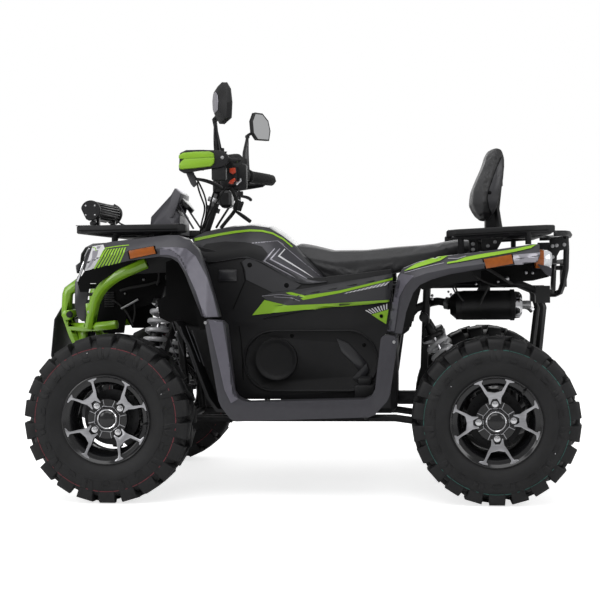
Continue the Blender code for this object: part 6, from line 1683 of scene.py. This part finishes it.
def make_racks():
    """Ribbed ends, edge lines and mounting hardware of both carriers."""
    ribs = []
    for index in range(7):
        x = -0.782 + index * 0.0085
        ribs.append(box((x, -0.352, 0.9290), (x + 0.0045, 0.352, 0.9320), 0.0008))
    file_piece(joined(ribs), "front_rack_ribs", "chassis", *GREY_MOULDED)
    pads = []
    for side in (-1, 1):
        for index in range(5):
            x = -0.440 + index * 0.008
            pads.append(box((x, side * 0.345 - 0.030, 0.9290), (x + 0.0045, side * 0.345 + 0.030, 0.9320), 0.0008))
    file_piece(joined(pads), "front_rack_tips", "chassis", *GREY_MOULDED)
    for name, z, route in (("front_rack_seam", 0.9125, [(-0.768, -0.3655), (-0.640, -0.3865), (-0.415, -0.3865)]),
                           ("rear_rack_seam", 0.879, [(0.510, -0.3865), (0.700, -0.3865), (0.825, -0.3455)])):
        line = tube([(x, y + 0.0005, z) for x, y in route], 0.0014, name, False, 2)
        if name == "rear_rack_seam":
            nudged(line, rear_rack_set)
        pair_up(line, name, "chassis", *SHADOW)
    lower = []
    for plan in ([(0.505, -0.372), (0.700, -0.372), (0.830, -0.330)],
                 [(0.505, 0.372), (0.700, 0.372), (0.830, 0.330)],
                 [(0.830, -0.330), (0.830, 0.330)]):
        lower.append(tube([(x, y, RAIL_HEIGHT) for x, y in plan], 0.0075, "under_rail", False, 2))
    file_piece(nudged(joined(lower), rear_rack_set), "rear_rack_rails", "chassis", *PAINTED)
    slats = []
    for index in range(3):
        y = -0.115 + index * 0.115
        slats.append(box((0.706, y - 0.004, 0.8720), (0.829, y + 0.004, 0.8960), 0.002))
    for side in (-1, 1):
        for index in range(2):
            slats.append(box((0.560, side * (0.268 + index * 0.036) - 0.004, 0.8720),
                             (0.780, side * (0.268 + index * 0.036) + 0.004, 0.8960), 0.002))
    file_piece(nudged(joined(slats), rear_rack_set), "rear_rack_slats", "chassis", *MOULDED)
    bars = []
    for side in (-1, 1):
        for index in range(2):
            y = side * (0.207 + index * 0.098)
            bars.append(box((-0.742, y - 0.004, 0.9060), (-0.548, y + 0.004, 0.9290), 0.002))
    file_piece(joined(bars), "front_rack_slats", "chassis", *MOULDED)
    plates = [pixel_slab([(469, 240.6), (477.4, 240.2), (477.4, 252.4), (469.4, 253.4)], -0.25, 0.012, 0.002),
              pixel_slab([(481.4, 238.6), (503.6, 237.8), (497, 250.4), (482.4, 252.8)], -0.26, 0.014, 0.002)]
    pair_up(joined(plates), "rack_brackets", "chassis", *PAINTED)
    near = []
    for u, v in ((473, 244), (473, 249.6), (488, 246), (495, 242)):
        at = at_pixel(u, v, -0.262)
        near += bolt(Vector((at.x, -0.2605, at.z)), (0, -1, 0), 0.0050, 0.005)
    pair_up(joined(near), "rack_bolts", "chassis", *PLATED)


def make_dash():
    """Screen on the cowl's peak and the dial pod."""
    screen = pixel_slab([(171.6, 195.4), (174.6, 189.4), (176.6, 188), (179.6, 191.6), (180.6, 195.6), (178, 193.6),
                         (175.4, 191.6)], -0.06, 0.12, 0.002, "dash_screen")
    file_piece(screen, "dash_screen", "chassis", SILVER, "lamp")
    dial = drum((-0.478, 0, 1.018), (-0.466, 0, 1.028), 0.042, 0.040, 48, 0.002, "dial")
    file_piece(dial, "dash_dial", "chassis", TANK_BLACK, "black_gloss")


# Rear end
def make_rear():
    """Silencer parts, blank number plate, guard tabs and bolts, a painted shade sheet under the tail, hoses and
    fixings.
    """
    flange = turned([(0.040, -0.008), (0.0545, -0.008), (0.0545, 0.006), (0.040, 0.006)], (0.716, -0.165, 0.640),
                    (1, 0, 0), 48, "flange")
    cap = turned([(0.0001, 0.0), (0.046, 0.0), (0.0475, 0.004), (0.0450, 0.018), (0.0360, 0.026), (0.0001, 0.027)],
                 (0.722, -0.165, 0.640), (1, 0, 0), 48, "end_cap")
    shell = turned([(0.0001, -0.004), (0.0400, -0.004), (0.0490, 0.010), (0.0515, 0.022), (0.0515, 0.185),
                    (0.0001, 0.185)], (0.524, -0.165, 0.640), (1, 0, 0), 48, "shell")
    file_piece(flange, "silencer_flange", "chassis", MATT_BLACK, "black_steel")
    file_piece(cap, "silencer_cap", "chassis", BRIGHT, "black_steel")
    file_piece(shell, "silencer_shell", "chassis", PIPE_BLACK, "black_steel")
    clamp = turned([(0.0150, -0.008), (0.0215, -0.008), (0.0215, 0.008), (0.0150, 0.008)], (0.492, -0.156, 0.647),
                   (1, -0.4, -0.2), 32, "pipe_clamp")
    outlet = turned([(0.0105, -0.004), (0.0145, -0.004), (0.0150, 0.020), (0.0140, 0.030), (0.0105, 0.030)],
                    (0.750, -0.165, 0.640), (1, 0, 0), 32, "outlet")
    file_piece(joined([clamp, outlet]), "silencer_bands", "chassis", *PLATED)
    plate = box((0.908, -0.095, 0.700), (0.912, 0.095, 0.785), 0.0015)
    file_piece(plate, "number_plate_blank", "chassis", *GREY_MOULDED)
    arm = box((0.882, -0.030, 0.760), (0.909, 0.030, 0.776), 0.003)
    file_piece(arm, "plate_bracket", "chassis", *PAINTED)
    bits = []
    for u, v in ((552.6, 246), (552.8, 257), (556.8, 245.4), (564.4, 244.6)):
        bits += bolt(at_pixel(u, v, -0.229), (0, -1, 0), 0.0048, 0.004)
    pair_up(joined(bits), "guard_bolts", "chassis", *PLATED)
    tab = pixel_slab([(549.4, 239), (567.6, 238.6), (567.2, 249), (560, 250.6), (557, 256), (556.8, 263),
                      (549.8, 263)], -0.228, 0.006, 0.001)
    pair_up(tab, "guard_tabs", material=MATT_BLACK, slot_name="black_steel")
    # A shadow-black sheet under the rear fender where it lies in shade: painted shade.
    hidden = pixel_slab([(481, 271), (512, 264.8), (546, 261), (549, 276.8), (533, 280.7), (517, 281.8), (509, 283.6),
                         (497, 284), (481, 286)], -0.30, 0.004)
    pair_up(hidden, "tail_shade_sheet", "chassis", *SHADOW)
    hoses = []
    for route, radius in (([(486, 268, -0.33), (497, 274, -0.335), (507, 281, -0.33), (512, 284, -0.32)], 0.0055),
                          ([(470, 270, -0.33), (476, 279, -0.335), (490, 286, -0.33), (505, 287, -0.32)], 0.0030),
                          ([(455, 286, -0.33), (458, 296, -0.335), (463, 301, -0.33)], 0.0032),
                          ([(489, 286, -0.33), (484, 295, -0.32), (480, 304, -0.30)], 0.0040)):
        hoses.append(tube(route_at(route), radius, "hose", True, 2))
    pair_up(joined(hoses), "tail_hoses", "chassis", *HOSE)
    lumps = [ball(at_pixel(u, v, -0.325), (size, size, size), "lump", 10, 6) for u, v, size in
             ((526, 272.6, 0.006), (532.6, 273, 0.005), (507, 278.6, 0.009), (498, 281.6, 0.005), (476, 284, 0.005),
              (451, 294.6, 0.005), (432, 299, 0.006))]
    pair_up(joined(lumps), "tail_fixings", "chassis", *PLATED)


set_camera()
set_studio()
parts = make_body()
make_running_gear()
make_shocks()
make_seat()
make_backrest()
make_side_graphics(parts)
make_flare_graphics(parts)
make_mirrors()
make_hand_guards()
make_grips()
make_bar_centre()
make_cables()
make_light_bar()
make_nose(parts)
make_racks()
make_dash()
make_rear()
